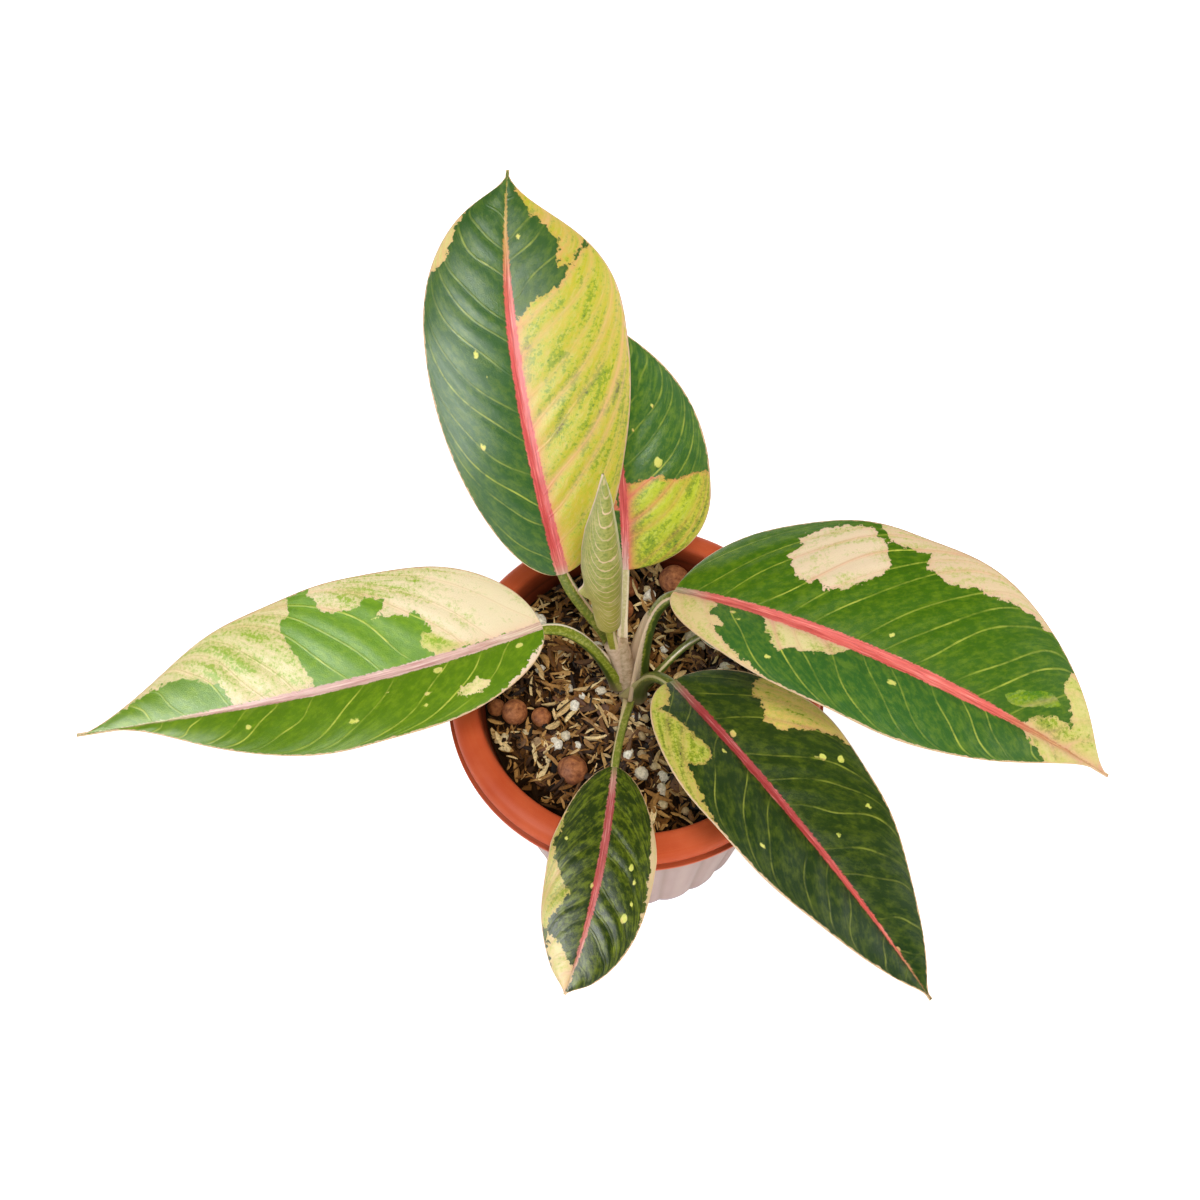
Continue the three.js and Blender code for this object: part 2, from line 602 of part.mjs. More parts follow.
const stemClear = stemSolid(GAP);
addPiece('outer_pot', outerPot(), COLOURS.outer_pot);
addPiece('inner_pot', innerPot(), COLOURS.inner_pot);
addPiece('potting_mix', pottingMix(stemClear), COLOURS.potting_mix);
CLAY_BALLS.forEach((ball, i) => addPiece(`clay_ball_${i + 1}`, clayBall(ball, CLAY_SEED + i), COLOURS.clay));
addPiece('stem', geometryOf(stemSolid(0)), COLOURS.stem);
for (const [name, geometry] of Object.entries(leafGeometries(stemClear))) {
  addPiece(name, geometry, name === 'leaf_new_rolled' ? COLOURS.rolled_leaf : COLOURS.leaf);
}

export default plant;
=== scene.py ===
# %% [markdown]
# A variegated Chinese evergreen in a double plastic pot.
#
# The plant has seven open leaves and one that is still rolled up, each on its own stalk, on a short
# stem that stands in a loose mix of bark, hulls and perlite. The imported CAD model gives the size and
# place of every piece. This lesson gives them their fine shape and their finish.

# %% Load the frame
import math

import bpy
import numpy as np
from mathutils import Matrix, Vector


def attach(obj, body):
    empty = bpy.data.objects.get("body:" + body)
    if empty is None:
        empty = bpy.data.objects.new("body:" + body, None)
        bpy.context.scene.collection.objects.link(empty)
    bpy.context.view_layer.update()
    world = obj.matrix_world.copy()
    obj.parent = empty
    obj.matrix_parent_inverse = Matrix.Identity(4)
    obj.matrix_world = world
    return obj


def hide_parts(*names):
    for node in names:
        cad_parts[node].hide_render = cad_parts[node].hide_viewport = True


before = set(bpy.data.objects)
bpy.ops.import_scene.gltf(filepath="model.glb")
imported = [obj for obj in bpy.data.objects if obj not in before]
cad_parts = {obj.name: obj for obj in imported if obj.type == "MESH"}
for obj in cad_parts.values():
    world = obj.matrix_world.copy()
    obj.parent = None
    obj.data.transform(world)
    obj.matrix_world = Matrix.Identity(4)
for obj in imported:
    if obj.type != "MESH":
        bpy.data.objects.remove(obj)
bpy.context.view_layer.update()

# %% [markdown]
# The camera looks down on the plant from the front. Its height, turn and distance belong to the
# photograph's point of view. All lengths are in millimetres. The camera aims past the middle of the
# pot's rim, by AIM_RIGHT to the side and by AIM_UP upwards.

# %% Camera
POT_HEIGHT = 128.0
VIEW_ELEVATION = 62.0
VIEW_ROLL = -3.0
VIEW_DISTANCE = 651.0
VIEW_ANGLE = 40.0
AIM_RIGHT = 13.9
AIM_UP = -31.8
MM = 0.001


def camera_axes(elevation, roll):
    """Right, up and back of a camera that looks along +Y, tipped down by elevation and then rolled."""
    tip, turn = math.radians(elevation), math.radians(roll)
    back = np.array([0, -math.cos(tip), math.sin(tip)])
    right = np.array([1.0, 0, 0])
    up = np.cross(back, right)
    return (
        math.cos(turn) * right + math.sin(turn) * up,
        math.cos(turn) * up - math.sin(turn) * right,
        back,
    )


right, up, back = camera_axes(VIEW_ELEVATION, VIEW_ROLL)
place = -AIM_RIGHT * right - AIM_UP * up + VIEW_DISTANCE * back + np.array([0, 0, POT_HEIGHT])
camera = bpy.data.objects.new("camera", bpy.data.cameras.new("camera"))
bpy.context.scene.collection.objects.link(camera)
turn = Matrix(np.column_stack([right, up, back]).tolist()).to_4x4()
camera.matrix_world = Matrix.Translation(Vector(place * MM)) @ turn
camera.data.sensor_fit = "HORIZONTAL"
camera.data.angle = math.radians(VIEW_ANGLE)
camera.data.clip_start = 0.01
bpy.context.scene.camera = camera
print("camera stands", round(VIEW_DISTANCE * MM, 2), "m from the rim")

# %% [markdown]
# A finish is a small graph of nodes. Two helpers serve all of them: one turns a hex colour, as a
# paint card would give it, to the linear numbers that the renderer adds light in, and the other
# adds one node with its settings and its links.


# %% Colour and node helpers
def linear(code, alpha=1.0):
    """The linear colour of an sRGB hex code such as #88aa70."""
    parts = [int(code[i : i + 2], 16) / 255 for i in (1, 3, 5)]
    return [p / 12.92 if p <= 0.04045 else ((p + 0.055) / 1.055) ** 2.4 for p in parts] + [alpha]


def node(tree, kind, inputs, **settings):
    """Adds one node. inputs is a list, or maps a socket's name or number to what it gets: a value, a
    hex colour, a socket or another node."""
    made = tree.nodes.new("ShaderNode" + kind)
    for name, value in settings.items():
        setattr(made, name, value)
    for key, value in inputs.items() if isinstance(inputs, dict) else enumerate(inputs):
        if isinstance(value, str):
            value = linear(value)
        if isinstance(value, bpy.types.Node):
            value = next(socket for socket in value.outputs if socket.enabled)
        if isinstance(value, bpy.types.NodeSocket):
            tree.links.new(value, made.inputs[key])
        else:
            made.inputs[key].default_value = value
    return made


def new_finish(name, roughness, ior=1.45, **sockets):
    """A material with an empty Principled shader: returns it, its tree and the shader."""
    material = bpy.data.materials.new(name)
    material.use_nodes = True
    tree = material.node_tree
    shader = tree.nodes["Principled BSDF"]
    shader.inputs["Roughness"].default_value = roughness
    shader.inputs["IOR"].default_value = ior
    for socket, value in sockets.items():
        shader.inputs[socket.replace("_", " ")].default_value = value
    return material, tree, shader


print("mid green as linear:", [round(v, 3) for v in linear("#88aa70")])

# %% [markdown]
# Every piece is a surface worked out with numpy as rows and columns of points. These helpers turn a
# grid of points to faces, and put whole arrays in a mesh at once. A closed tube is a grid whose last
# column joins its first, with a fan over each end. A closed sheet is two grids joined at the border.


# %% Mesh helpers
ATTRIBUTE_KINDS = {1: ("FLOAT", "value"), 3: ("FLOAT_VECTOR", "vector"), 4: ("FLOAT_COLOR", "color")}


def grid_faces(rows, columns, wrap=False, start=0):
    """Quads of a grid of points: point (i, j) has the number start + i * columns + j."""
    i, j = np.meshgrid(np.arange(rows - 1), np.arange(columns if wrap else columns - 1), indexing="ij")
    k = (j + 1) % columns
    corners = [i * columns + j, i * columns + k, (i + 1) * columns + k, (i + 1) * columns + j]
    return np.stack(corners, axis=-1).reshape(-1, 4) + start


def fan_faces(ring, pole, outward):
    """Triangles from a ring of point numbers to one pole."""
    after = np.roll(ring, -1)
    first, second = (after, ring) if outward else (ring, after)
    return np.stack([first, second, np.full(len(ring), pole)], axis=-1)


def closed_tube(rings):
    """A grid of rings (rows, sides, 3), closed by a fan at each end: points, quads, triangles."""
    rows, sides = rings.shape[:2]
    points = np.concatenate([rings.reshape(-1, 3), rings[0].mean(0)[None], rings[-1].mean(0)[None]])
    first = np.arange(sides)
    last = first + (rows - 1) * sides
    ends = [fan_faces(first, rows * sides, True), fan_faces(last, rows * sides + 1, False)]
    return points, grid_faces(rows, sides, True), np.concatenate(ends)


def closed_sheet(rows, columns):
    """Faces of two grids, numbered one after the other, and of the strip that joins their borders."""
    count = rows * columns
    ring = np.concatenate([
        np.arange(columns), np.arange(1, rows) * columns + columns - 1,
        (rows - 1) * columns + np.arange(columns - 2, -1, -1), np.arange(rows - 2, 0, -1) * columns,
    ])
    after = np.roll(ring, -1)
    return np.concatenate([
        grid_faces(rows, columns), grid_faces(rows, columns, start=count)[:, ::-1],
        np.stack([after, ring, ring + count, after + count], -1),
    ])


def build(name, points, quads, triangles, material, slot, nodes=(), attributes=None, smooth=True):
    """Puts a mesh in the scene from points in millimetres under the root body, and hides the CAD parts it
    replaces.
    """
    mesh = bpy.data.meshes.new(name)
    mesh.vertices.add(len(points))
    mesh.vertices.foreach_set("co", np.asarray(points * MM, np.float32).ravel())
    loops = np.concatenate([np.ravel(quads), np.ravel(triangles)]).astype(np.int32)
    counts = np.concatenate([np.full(len(quads), 4), np.full(len(triangles), 3)])
    mesh.loops.add(len(loops))
    mesh.loops.foreach_set("vertex_index", loops)
    mesh.polygons.add(len(counts))
    mesh.polygons.foreach_set("loop_start", (np.cumsum(counts) - counts).astype(np.int32))
    mesh.update(calc_edges=True)
    mesh.polygons.foreach_set("use_smooth", np.full(len(counts), smooth))
    for label, values in (attributes or {}).items():
        width = 1 if values.ndim == 1 else values.shape[1]
        kind, field = ATTRIBUTE_KINDS[width]
        layer = mesh.attributes.new(label, kind, "POINT")
        layer.data.foreach_set(field, np.asarray(values, np.float32).ravel())
    mesh.materials.append(material)
    piece = bpy.data.objects.new(name, mesh)
    bpy.context.scene.collection.objects.link(piece)
    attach(piece, "root")
    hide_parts(*nodes)
    print(f"{name}: {len(quads) * 2 + len(triangles)} triangles")
    return piece


NO_TRIANGLES = np.zeros((0, 3), int)

# %% [markdown]
# Grains, crumbs and clay balls are uneven. Their bumps come from one smooth noise: random values on
# the corners of a lattice of cubes, blended inside each cube.


# %% Smooth noise
def lattice_noise(points, size, seed):
    """Noise from -1 to 1 at each point, with lumps of about that size in millimetres."""
    cells = np.asarray(points) / size + 57.0 * seed
    low = np.floor(cells).astype(np.int64)
    t = cells - low
    t = t * t * (3 - 2 * t)
    total = 0.0
    for corner in np.ndindex(2, 2, 2):
        at = low + np.array(corner)
        key = at[..., 0] * 73856093 ^ at[..., 1] * 19349663 ^ at[..., 2] * 83492791
        key = (key ^ (key >> 13)) * 1274126177 & 0x7FFFFFFF
        weight = np.prod(np.where(np.array(corner) == 1, t, 1 - t), axis=-1)
        total = total + weight * ((key >> 7) % 4096 / 2047.5 - 1)
    return total


print("noise sample:", round(float(lattice_noise(np.array([[3.0, 4.0, 5.0]]), 2.0, 1)[0]), 3))

# %% [markdown]
# ## The leaves
# A blade grows from its base along a midrib that turns and drops, and each half of it lifts from the
# midrib and rolls over towards the margin. These are the same numbers that the solid model uses.
# heading and rise are the midrib's first direction in degrees, sweep and sway turn it sideways, and
# the second rise is the one at the tip. left and right are the widths of the two halves.

# %% Leaf dimensions
LEAVES = {
    "north": dict(
        base=(-25.3, 13, 193.7), heading=109, sweep=-18, sway=-9, rise=(59, 24.5), roll=(-3, -3),
        length=146.5, left=32, right=40, widest=0.54, base_shape=1.55, tip_shape=3.4,
        tip_left=1.2, tip_right=1.45, fold_left=8.5, fold_right=14, camber=34, ripple=0.9,
        stalk=2.4, azimuth=118, socket=127, lean=18, reach=(30, 16),
    ),
    "northeast": dict(
        base=(-2, 24, 175), heading=88, sweep=7, sway=20, rise=(69, 36), roll=(1.5, 0),
        length=105.5, left=30, right=33, widest=0.3, base_shape=2, tip_shape=2.8,
        tip_left=1, tip_right=1.45, fold_left=14, fold_right=13, camber=30, ripple=0.7,
        stalk=1.9, azimuth=80, socket=146, lean=25, reach=(10, 10),
    ),
    "west": dict(
        base=(-34.3, 3.8, 172.4), heading=201, sweep=-32.5, sway=11, rise=(2, -14), roll=(-4, -3),
        length=181, left=26.5, right=39.5, widest=0.34, base_shape=2.1, tip_shape=2.95,
        tip_left=3.4, tip_right=1.8, fold_left=16, fold_right=21, camber=21, ripple=1.2,
        stalk=2.3, azimuth=178, socket=124, lean=14, reach=(32, 12),
    ),
    "east": dict(
        base=(15.3, 9.2, 185), heading=-30, sweep=-4, sway=8.5, rise=(24.5, -26), roll=(-3, 15.5),
        length=171, left=50, right=29, widest=0.42, base_shape=1.8, tip_shape=2.9,
        tip_left=1.25, tip_right=2.05, fold_left=11, fold_right=26.5, camber=24.5, ripple=1.1,
        stalk=2.5, azimuth=15, socket=122, lean=4, reach=(40, 12),
    ),
    "southeast": dict(
        base=(13.2, -15.4, 159), heading=-58, sweep=8, sway=-4.5, rise=(15, -27.5), roll=(-8, -3.5),
        length=150, left=36, right=30, widest=0.34, base_shape=2, tip_shape=2,
        tip_left=1.1, tip_right=1.05, fold_left=12, fold_right=27, camber=19.5, ripple=0.9,
        stalk=2.3, azimuth=-45, socket=120, lean=10, reach=(26, 10),
    ),
    "south": dict(
        base=(-10, -38.6, 134.5), heading=-97, sweep=-10.5, sway=-10, rise=(11, -29.5), roll=(-5.5, 2.5),
        length=89, left=21, right=21, widest=0.39, base_shape=1.3, tip_shape=3.1,
        tip_left=0.85, tip_right=0.8, fold_left=7, fold_right=9, camber=40, ripple=0.7,
        stalk=1.7, azimuth=-95, socket=117, lean=40, reach=(14, 16),
    ),
    "lower_east": dict(
        base=(25, 8, 150), heading=14, sweep=4, sway=0, rise=(12, -18), roll=(0, 0),
        length=88, left=20, right=20, widest=0.4, base_shape=1.6, tip_shape=3,
        tip_left=0.9, tip_right=0.9, fold_left=10, fold_right=10, camber=30, ripple=0.7,
        stalk=1.5, azimuth=-8, socket=118, lean=25, reach=(20, 10),
    ),
}
print(len(LEAVES), "open leaves, the longest", max(leaf["length"] for leaf in LEAVES.values()), "mm")

# %% [markdown]
# The markings are the plant's variegation: cream, yellow and pink islands where the cells hold little
# green. Each island is a short outline in percent along and across the blade, with the left half
# positive. Beyond 100 percent it runs off the margin. The ragged border comes later, from noise.
# Each island has its tint, and how thickly green cells are scattered in it from 0 to 1. One of them
# has a calmer border without a blush, which a last number from 0 to 1 says. Drifts are round places
# where the scatter is thicker or thinner.

# %% Variegation of each leaf
ISLANDS = {
    "north": [
        ([(-4, 0), (64, 0), (66, -12), (69, -22), (71, -40), (73, -53), (76, -62), (79, -75), (82, -96),
          (83, -130), (-4, -130)], "#cdba3a", 0.7),
        ([(99, -130), (96, -70), (94, -63), (92, -60), (89, -50), (88, -63), (85, -60), (83, -65),
          (81, -60), (78, -52), (76, -50), (78, -68), (81, -83), (83, -96), (83, -130)], "#ccb43c", 0.7),
        ([(92, 130), (91, 98), (87, 91), (84, 82), (80, 81), (78, 90), (79, 130)], "#e3cf84", 0.1),
    ],
    "northeast": [
        ([(-4, -1), (36, -1), (37, -20), (38, -32), (38, -45), (36, -52), (36, -65), (38, -80),
          (37, -92), (34, -130), (-4, -130)], "#d0d63e", 1.0),
        ([(26, 6), (32, 9), (31, 22), (27, 16)], "#cfd04c", 1.0),
    ],
    "west": [
        ([(-4, 0), (14, -6), (20, -12), (22, -32), (23, -42), (24, -53), (27, -50), (32, -55),
          (30, -70), (34, -78), (36, -68), (43, -70), (44, -78), (46, -93), (46, -130), (-4, -130)],
         "#f3e0b8", 0.22),
        ([(15, -7), (22, -4), (25, -18), (24, -30), (20, -24)], "#dcd878", 0.9),
        ([(51, -130), (51, -82), (53, -74), (53, -62), (51, -42), (49, -23), (48, -6), (56, -2),
          (65, -4), (67, -25), (68, -33), (73, -52), (78, -68), (83, -80), (90, -92), (97, -96),
          (97, -130)], "#ecdca6", 0.62),
        ([(20, 55), (17, 61), (16, 55), (14, 70), (15, 78), (18, 76), (21, 66)], "#f2e6a4", 0.62),
        ([(-4, 130), (1, 78), (4, 84), (8, 91), (12, 97), (16, 130)], "#f4dfc6", 0.0),
    ],
    "east": [
        ([(21, 78), (23, 72), (21, 58), (24, 42), (28, 33), (29, 40), (32, 33), (36, 37), (38, 45),
          (41, 54), (42, 66), (39, 82), (35, 93), (30, 93), (25, 91)], "#ecd4b0", 0.34),
        ([(36, 130), (36, 99), (39, 88), (41, 84), (45, 87), (48, 88), (48, 82), (49, 75), (54, 70),
          (57, 72), (59, 77), (62, 78), (68, 87), (72, 91), (78, 98), (80, 130)], "#e6cba2", 0.32),
        ([(79, -3), (81, -27), (83, -50), (86, -82), (88, -130), (110, 0), (86, 130), (84, 98),
          (83.5, 66), (87, 55), (88, 40), (84, 30), (81, 18), (79, 4)], "#dcd07c", 0.6),
        ([(-4, -1), (6, -4), (11, -8), (12, -23), (11.5, -45), (15, -50), (16, -58), (14, -66),
          (15, -73), (18, -82), (23, -91), (29, -97), (32, -130), (-4, -130)], "#e8d096", 0.35),
        ([(22, -2), (23, -14), (25, -35), (29, -57), (31, -45), (36, -38), (39, -27), (42, -10),
          (43, -2)], "#ecdc9c", 0.35),
        ([(73, 16), (75, 26), (79, 40), (82, 52), (84.5, 48), (82.5, 36), (80, 26), (77.5, 17), (75, 13)],
         "#4c7e00", 0.5, 0.3),
    ],
    "southeast": [
        ([(-4, -130), (-2, -60), (2, -50), (5, -45), (7, -60), (8, -76), (10, -60), (15, -46),
          (19, -43), (23, -34), (25, -38), (26, -50), (26, -62), (24, -76), (29, -82), (34, -90),
          (39, -98), (41, -130)], "#d0c45c", 0.95),
        ([(13, 130), (13, 84), (14, 76), (17, 60), (18, 64), (22, 53), (24, 46), (28, 47), (30, 62),
          (33, 76), (37, 91), (42, 98), (46, 130)], "#eaca70", 0.45),
    ],
    "south": [
        ([(20, -130), (22, -97), (26, -91), (32, -89), (38, -95), (45, -84), (53, -68), (58, -46),
          (62, -50), (66, -62), (70, -74), (76, -86), (77, -130)], "#cdb95c", 0.75),
        ([(78, -84), (80, -58), (82, -40), (86, -24), (87, -2), (92, -1), (103, 0), (101, -60),
          (94, -96), (85, -90)], "#e2cc84", 0.5),
        ([(20, 130), (22, 96), (30, 88), (41, 86), (49, 91), (58, 95), (66, 98), (67, 130)],
         "#dcc394", 0.1),
    ],
    "lower_east": [
        ([(30, 130), (34, 70), (45, 52), (56, 66), (62, 90), (64, 130)], "#e6d08c", 0.5),
        ([(8, -130), (12, -72), (26, -64), (34, -88), (36, -130)], "#e2cf90", 0.5),
    ],
}
SPOTS = {
    "north": [(58, 42, 0.9), (84, -17, 0.9), (53, 33, 0.5), (37, 57, 1.0)],
    "northeast": [(43, -42, 1.5), (62, -50, 0.7), (55, -20, 0.5)],
    "west": [(26, 50, 0.9), (27, 67, 0.8), (23, 17, 1.3), (41, 62, 1.1), (6, 33, 0.9), (33, -53, 0.9),
             (34, 30, 0.6), (62, 48, 0.9)],
    "east": [(28, -72, 0.8), (18, -33, 0.6), (16, -22, 0.6), (52, -32, 1.2), (48, 17, 0.9), (66, 53, 0.6)],
    "southeast": [(40, 65, 1.0), (43, 80, 1.1), (39, 60, 0.5), (49, -70, 0.9), (25, -18, 0.8),
                  (22, 10, 1.0), (56, 77, 0.8), (57, 27, 0.6), (86, 5, 0.7)],
    "south": [(44, 53, 0.8), (49, 63, 0.7), (64, 63, 1.2), (58, 68, 0.5), (36, -70, 0.7), (54, -8, 0.6)],
    "lower_east": [],
}
SPOT_TINT, SPOT_SCATTER = "#dfdc6c", 0.2
DRIFTS = {
    "north": [(60, -25, 12, 0.2), (45, -68, 24, 0.2), (24, -66, 20, 0.15), (90, -78, 8, 0.3),
              (14, -40, 16, -0.3), (62, -62, 10, -0.15)],
    "northeast": [(24, -50, 8, -0.25)],
    "west": [(30, -86, 15, 0.55), (39, -82, 12, 0.6), (20, -92, 12, 0.3), (17, -28, 9, 0.4),
             (60, -62, 16, 0.25), (55, -30, 9, 0.25), (72, -72, 10, 0.2), (10, -55, 16, -0.2)],
    "east": [(82, 20, 8, 0.3), (20, -82, 7, 0.4), (24, -40, 6, 0.3), (38, -22, 5, 0.5), (27, 84, 7, 0.25),
             (33, 60, 8, -0.2)],
    "southeast": [(3, -80, 10, -0.45), (16, -66, 8, 0.2), (18, 80, 10, 0.3), (38, 90, 10, -0.3)],
    "south": [(60, -64, 8, 0.2), (94, -50, 10, -0.3)],
    "lower_east": [],
}
print(sum(len(islands) for islands in ISLANDS.values()), "islands on the blades")

# %% [markdown]
# Each leaf also has its own greens, its midrib's colour from base to tip as a few stops, and half the
# width of the coloured midrib band in millimetres, also from base to tip. blush is how far the
# midrib's pink runs into the veins of a pale island, glow is how bright the veins are on green, and
# cloudy is how strongly the green itself is mottled.

# %% Colours of each leaf
TINTS = {
    "north": dict(
        green=("#3d6a2c", "#3f6526"), tip="#41692a", pink="#ea8068", blush=0.35, glow=0.4, cloudy=0.4,
        rib_half=[(0, 2.5), (66, 1.95), (80, 1.2), (88, 0.7), (94, 0.4), (100, 0.15)],
        rib=[(0, "#dcc0a4"), (3, "#e88a7c"), (8, "#e0605c"), (64, "#ee6c66"), (74, "#e0755c"),
             (82, "#d6a45a"), (100, "#c6c45a")],
    ),
    "northeast": dict(
        green=("#44702c", "#4a7a2c"), tip="#44752c", pink="#ee6e66", blush=1.0, glow=0.36, cloudy=0.6,
        rib_half=[(0, 1.3), (30, 1.6), (100, 0.15)],
        rib=[(0, "#f4ded0"), (8, "#f4b4ac"), (18, "#ee6c6a"), (100, "#ee8078")],
    ),
    "west": dict(
        green=("#6c960a", "#7aac20"), tip="#80a824", pink="#f0c0a4", blush=0.3, glow=0.7, cloudy=0.5,
        rib_half=[(0, 1.7), (25, 2.1), (50, 1.9), (65, 1.3), (80, 0.6), (100, 0.2)],
        rib=[(0, "#f0dcc0"), (20, "#eeccc0"), (62, "#f0d0c4"), (72, "#eecdb8"), (80, "#cdd08a"),
             (100, "#a6ac50")],
    ),
    "east": dict(
        green=("#4c7a02", "#44782c"), tip="#467320", pink="#e8a090", blush=0.5, glow=0.62, cloudy=0.5,
        rib_half=[(0, 1.4), (10, 2.0), (30, 2.7), (55, 2.7), (70, 2.1), (82, 1.1), (92, 0.5), (100, 0.2)],
        rib=[(0, "#b9bd92"), (4, "#cfb09a"), (10, "#ec7a70"), (40, "#fb7c70"), (74, "#f67a6c"),
             (82, "#e2a872"), (100, "#d8b878")],
    ),
    "southeast": dict(
        green=("#2b430a", "#264010"), tip="#264214", pink="#cf7a68", blush=0.7, glow=0.34, cloudy=0.4,
        rib_half=[(0, 1.7), (15, 2.0), (40, 1.8), (65, 1.3), (80, 0.85), (90, 0.5), (100, 0.2)],
        rib=[(0, "#8f9a66"), (5, "#b87a72"), (12, "#b44448"), (50, "#cc5250"), (74, "#ee6a5e"),
             (86, "#e8826a"), (93, "#d8ac70"), (100, "#a89058")],
    ),
    "south": dict(
        green=("#384c06", "#384c0c"), tip="#2c4203", pink="#dd9a84", blush=0.2, glow=0.12, cloudy=0.9,
        rib_half=[(0, 1.1), (20, 1.6), (50, 1.6), (80, 0.9), (100, 0.2)],
        rib=[(0, "#8f8f58"), (6, "#cf9a8c"), (16, "#bc5c5c"), (64, "#d86c66"), (82, "#dd8a78"),
             (92, "#d8bc90"), (100, "#cbb880")],
    ),
    "lower_east": dict(
        green=("#4a6c1c", "#46681a"), tip="#4a7020", pink="#e08a80", blush=0.3, glow=0.5, cloudy=0.4,
        rib_half=[(0, 1.0), (50, 1.2), (100, 0.2)],
        rib=[(0, "#9a9c64"), (10, "#d8606a"), (70, "#e0706c"), (100, "#c8b878")],
    ),
}
print("coloured midribs:", ", ".join(TINTS))

# %% [markdown]
# The midrib is followed by adding up its direction in small steps. Around it stand three directions:
# along it, across to the left, and out of the upper face. The outline is the model's, except that it
# draws in to a fine point at the tip. A cusp says how much is drawn in on each half, and over what
# share of the length.

# %% The frame of a midrib
MIDRIB_STEPS = 72
LEAST_HALF_WIDTH = 0.7
RIPPLES = 3.4
CUSPS = {
    "north": (0.77, 0.052, 0.5, 0.085), "northeast": (0.5, 0.06, 0.5, 0.06), "west": (0.1, 0.03, 0.1, 0.03),
    "east": (0.45, 0.05, 0.6, 0.06), "southeast": (0.5, 0.04, 0.55, 0.045), "south": (0.5, 0.04, 0.5, 0.04),
    "lower_east": (0.5, 0.05, 0.5, 0.05),
}
for cusp_name, cusp in CUSPS.items():
    LEAVES[cusp_name]["cusp"] = cusp


def midrib_frame(leaf, u):
    """Along, across and out at each u: the midrib's heading and rise, rolled about it."""
    rise = np.radians(leaf["rise"][0] + (leaf["rise"][1] - leaf["rise"][0]) * u)
    heading = np.radians(leaf["heading"] + leaf["sweep"] * u + leaf["sway"] * u**2)
    roll = np.radians(leaf["roll"][0] + (leaf["roll"][1] - leaf["roll"][0]) * u)
    along = np.stack([np.cos(rise) * np.cos(heading), np.cos(rise) * np.sin(heading), np.sin(rise)], -1)
    level = np.stack([-np.sin(heading), np.cos(heading), 0 * heading], -1)
    upward = np.cross(along, level)
    cosine, sine = np.cos(roll)[:, None], np.sin(roll)[:, None]
    return along, cosine * level + sine * upward, cosine * upward - sine * level


def midrib_line(leaf, u):
    """Points of the midrib at each u, by adding up its direction at the middle of every step."""
    steps = (np.arange(MIDRIB_STEPS) + 0.5) / MIDRIB_STEPS
    moves = midrib_frame(leaf, steps)[0] * leaf["length"] / MIDRIB_STEPS
    line = np.vstack([leaf["base"], leaf["base"] + np.cumsum(moves, axis=0)])
    knots = np.linspace(0, 1, MIDRIB_STEPS + 1)
    return np.stack([np.interp(u, knots, line[:, axis]) for axis in range(3)], -1)


def half_width(leaf, left, u):
    """Width of one half at u: a rounded rise to the widest place, then a fall that ends in the tip."""
    width = np.where(left, leaf["left"], leaf["right"])
    towards_tip = np.where(left, leaf["tip_left"], leaf["tip_right"])
    hollow = np.where(left, leaf["cusp"][0], leaf["cusp"][2])
    run = np.where(left, leaf["cusp"][1], leaf["cusp"][3])
    from_base = np.clip((leaf["widest"] - u) / leaf["widest"], 0, 1)
    from_widest = np.clip((u - leaf["widest"]) / (1 - leaf["widest"]), 0, 1)
    swell = np.sqrt(1 - from_base ** leaf["base_shape"])
    taper = (1 - from_widest ** leaf["tip_shape"]) ** towards_tip
    taper = taper * (1 - hollow * np.exp(-(((1 - u) / run) ** 2)))
    return np.maximum(width * np.where(u < leaf["widest"], swell, taper), LEAST_HALF_WIDTH)


print("north blade half width:", round(float(half_width(LEAVES["north"], True, np.array(0.5))), 1), "mm")

# %% [markdown]
# Side veins leave the midrib at about fifty degrees, bend towards the tip and then run beside the
# margin without reaching it. So a vein is a line on which s - g stays the same, where s is the way
# along the midrib and g grows with the distance from it, fast near the margin. That number, counted
# in vein spacings, is the phase. The blade is quilted: it swells between the veins.

# %% Veins
VEIN_SLANT = 0.8
VEIN_HUG = 9.0
VEINS_ALONG = {"north": 13, "northeast": 10, "west": 12, "east": 14, "southeast": 10, "south": 9,
               "lower_east": 10}
for vein_name, vein_count in VEINS_ALONG.items():
    LEAVES[vein_name]["veins"] = vein_count


def vein_start(leaf, u, v):
    """Where on the midrib, in mm, the vein through (u, v) starts."""
    width = half_width(leaf, v > 0, u)
    hug = -VEIN_HUG * np.log(1 - 0.97 * np.abs(v) ** 3)
    return u * leaf["length"] - VEIN_SLANT * width * np.abs(v) - hug * width / leaf["left"]


def vein_phase(leaf, seed, u, v):
    """Vein number at (u, v), a whole number on each vein, slightly uneven, offset on the left half."""
    count = vein_start(leaf, u, v) / leaf["length"] * leaf["veins"]
    uneven = 0.16 * np.sin(2.3 * count + seed) + 0.06 * np.sin(5.1 * count + 2 * seed + (v > 0))
    wander = 0.05 * np.sin(9 * np.abs(v) + 3 * count)
    return count + uneven + wander + np.where(v > 0, 0.45, 0) + 40


def steepness(phase, points):
    """How fast the phase changes over a surface, in vein spacings per mm."""
    slopes = [np.gradient(phase, axis=k) / (np.linalg.norm(np.gradient(points, axis=k), axis=-1) + 0.01)
              for k in (0, 1)]
    return np.clip(np.hypot(*slopes), 0.03, 0.35)


print("phase beside the midrib at mid length:", vein_phase(LEAVES["north"], 1, np.array(0.5), np.array(0.1)))

# %% [markdown]
# The blade's upper face is the CAD's own formula with finer relief added: quilting, a shallow channel
# along the midrib, and margins that thin out. The lower face hangs under it by the leaf's thickness
# and carries the rounded rib.

# %% Blade surface
BLADE_ROWS = 170
BLADE_COLUMNS = 36
BLADE_THICKNESS = 0.8
MARGIN_THICKNESS = 0.35
QUILT_HEIGHT = 0.7
CHANNEL_DEPTH = 0.22


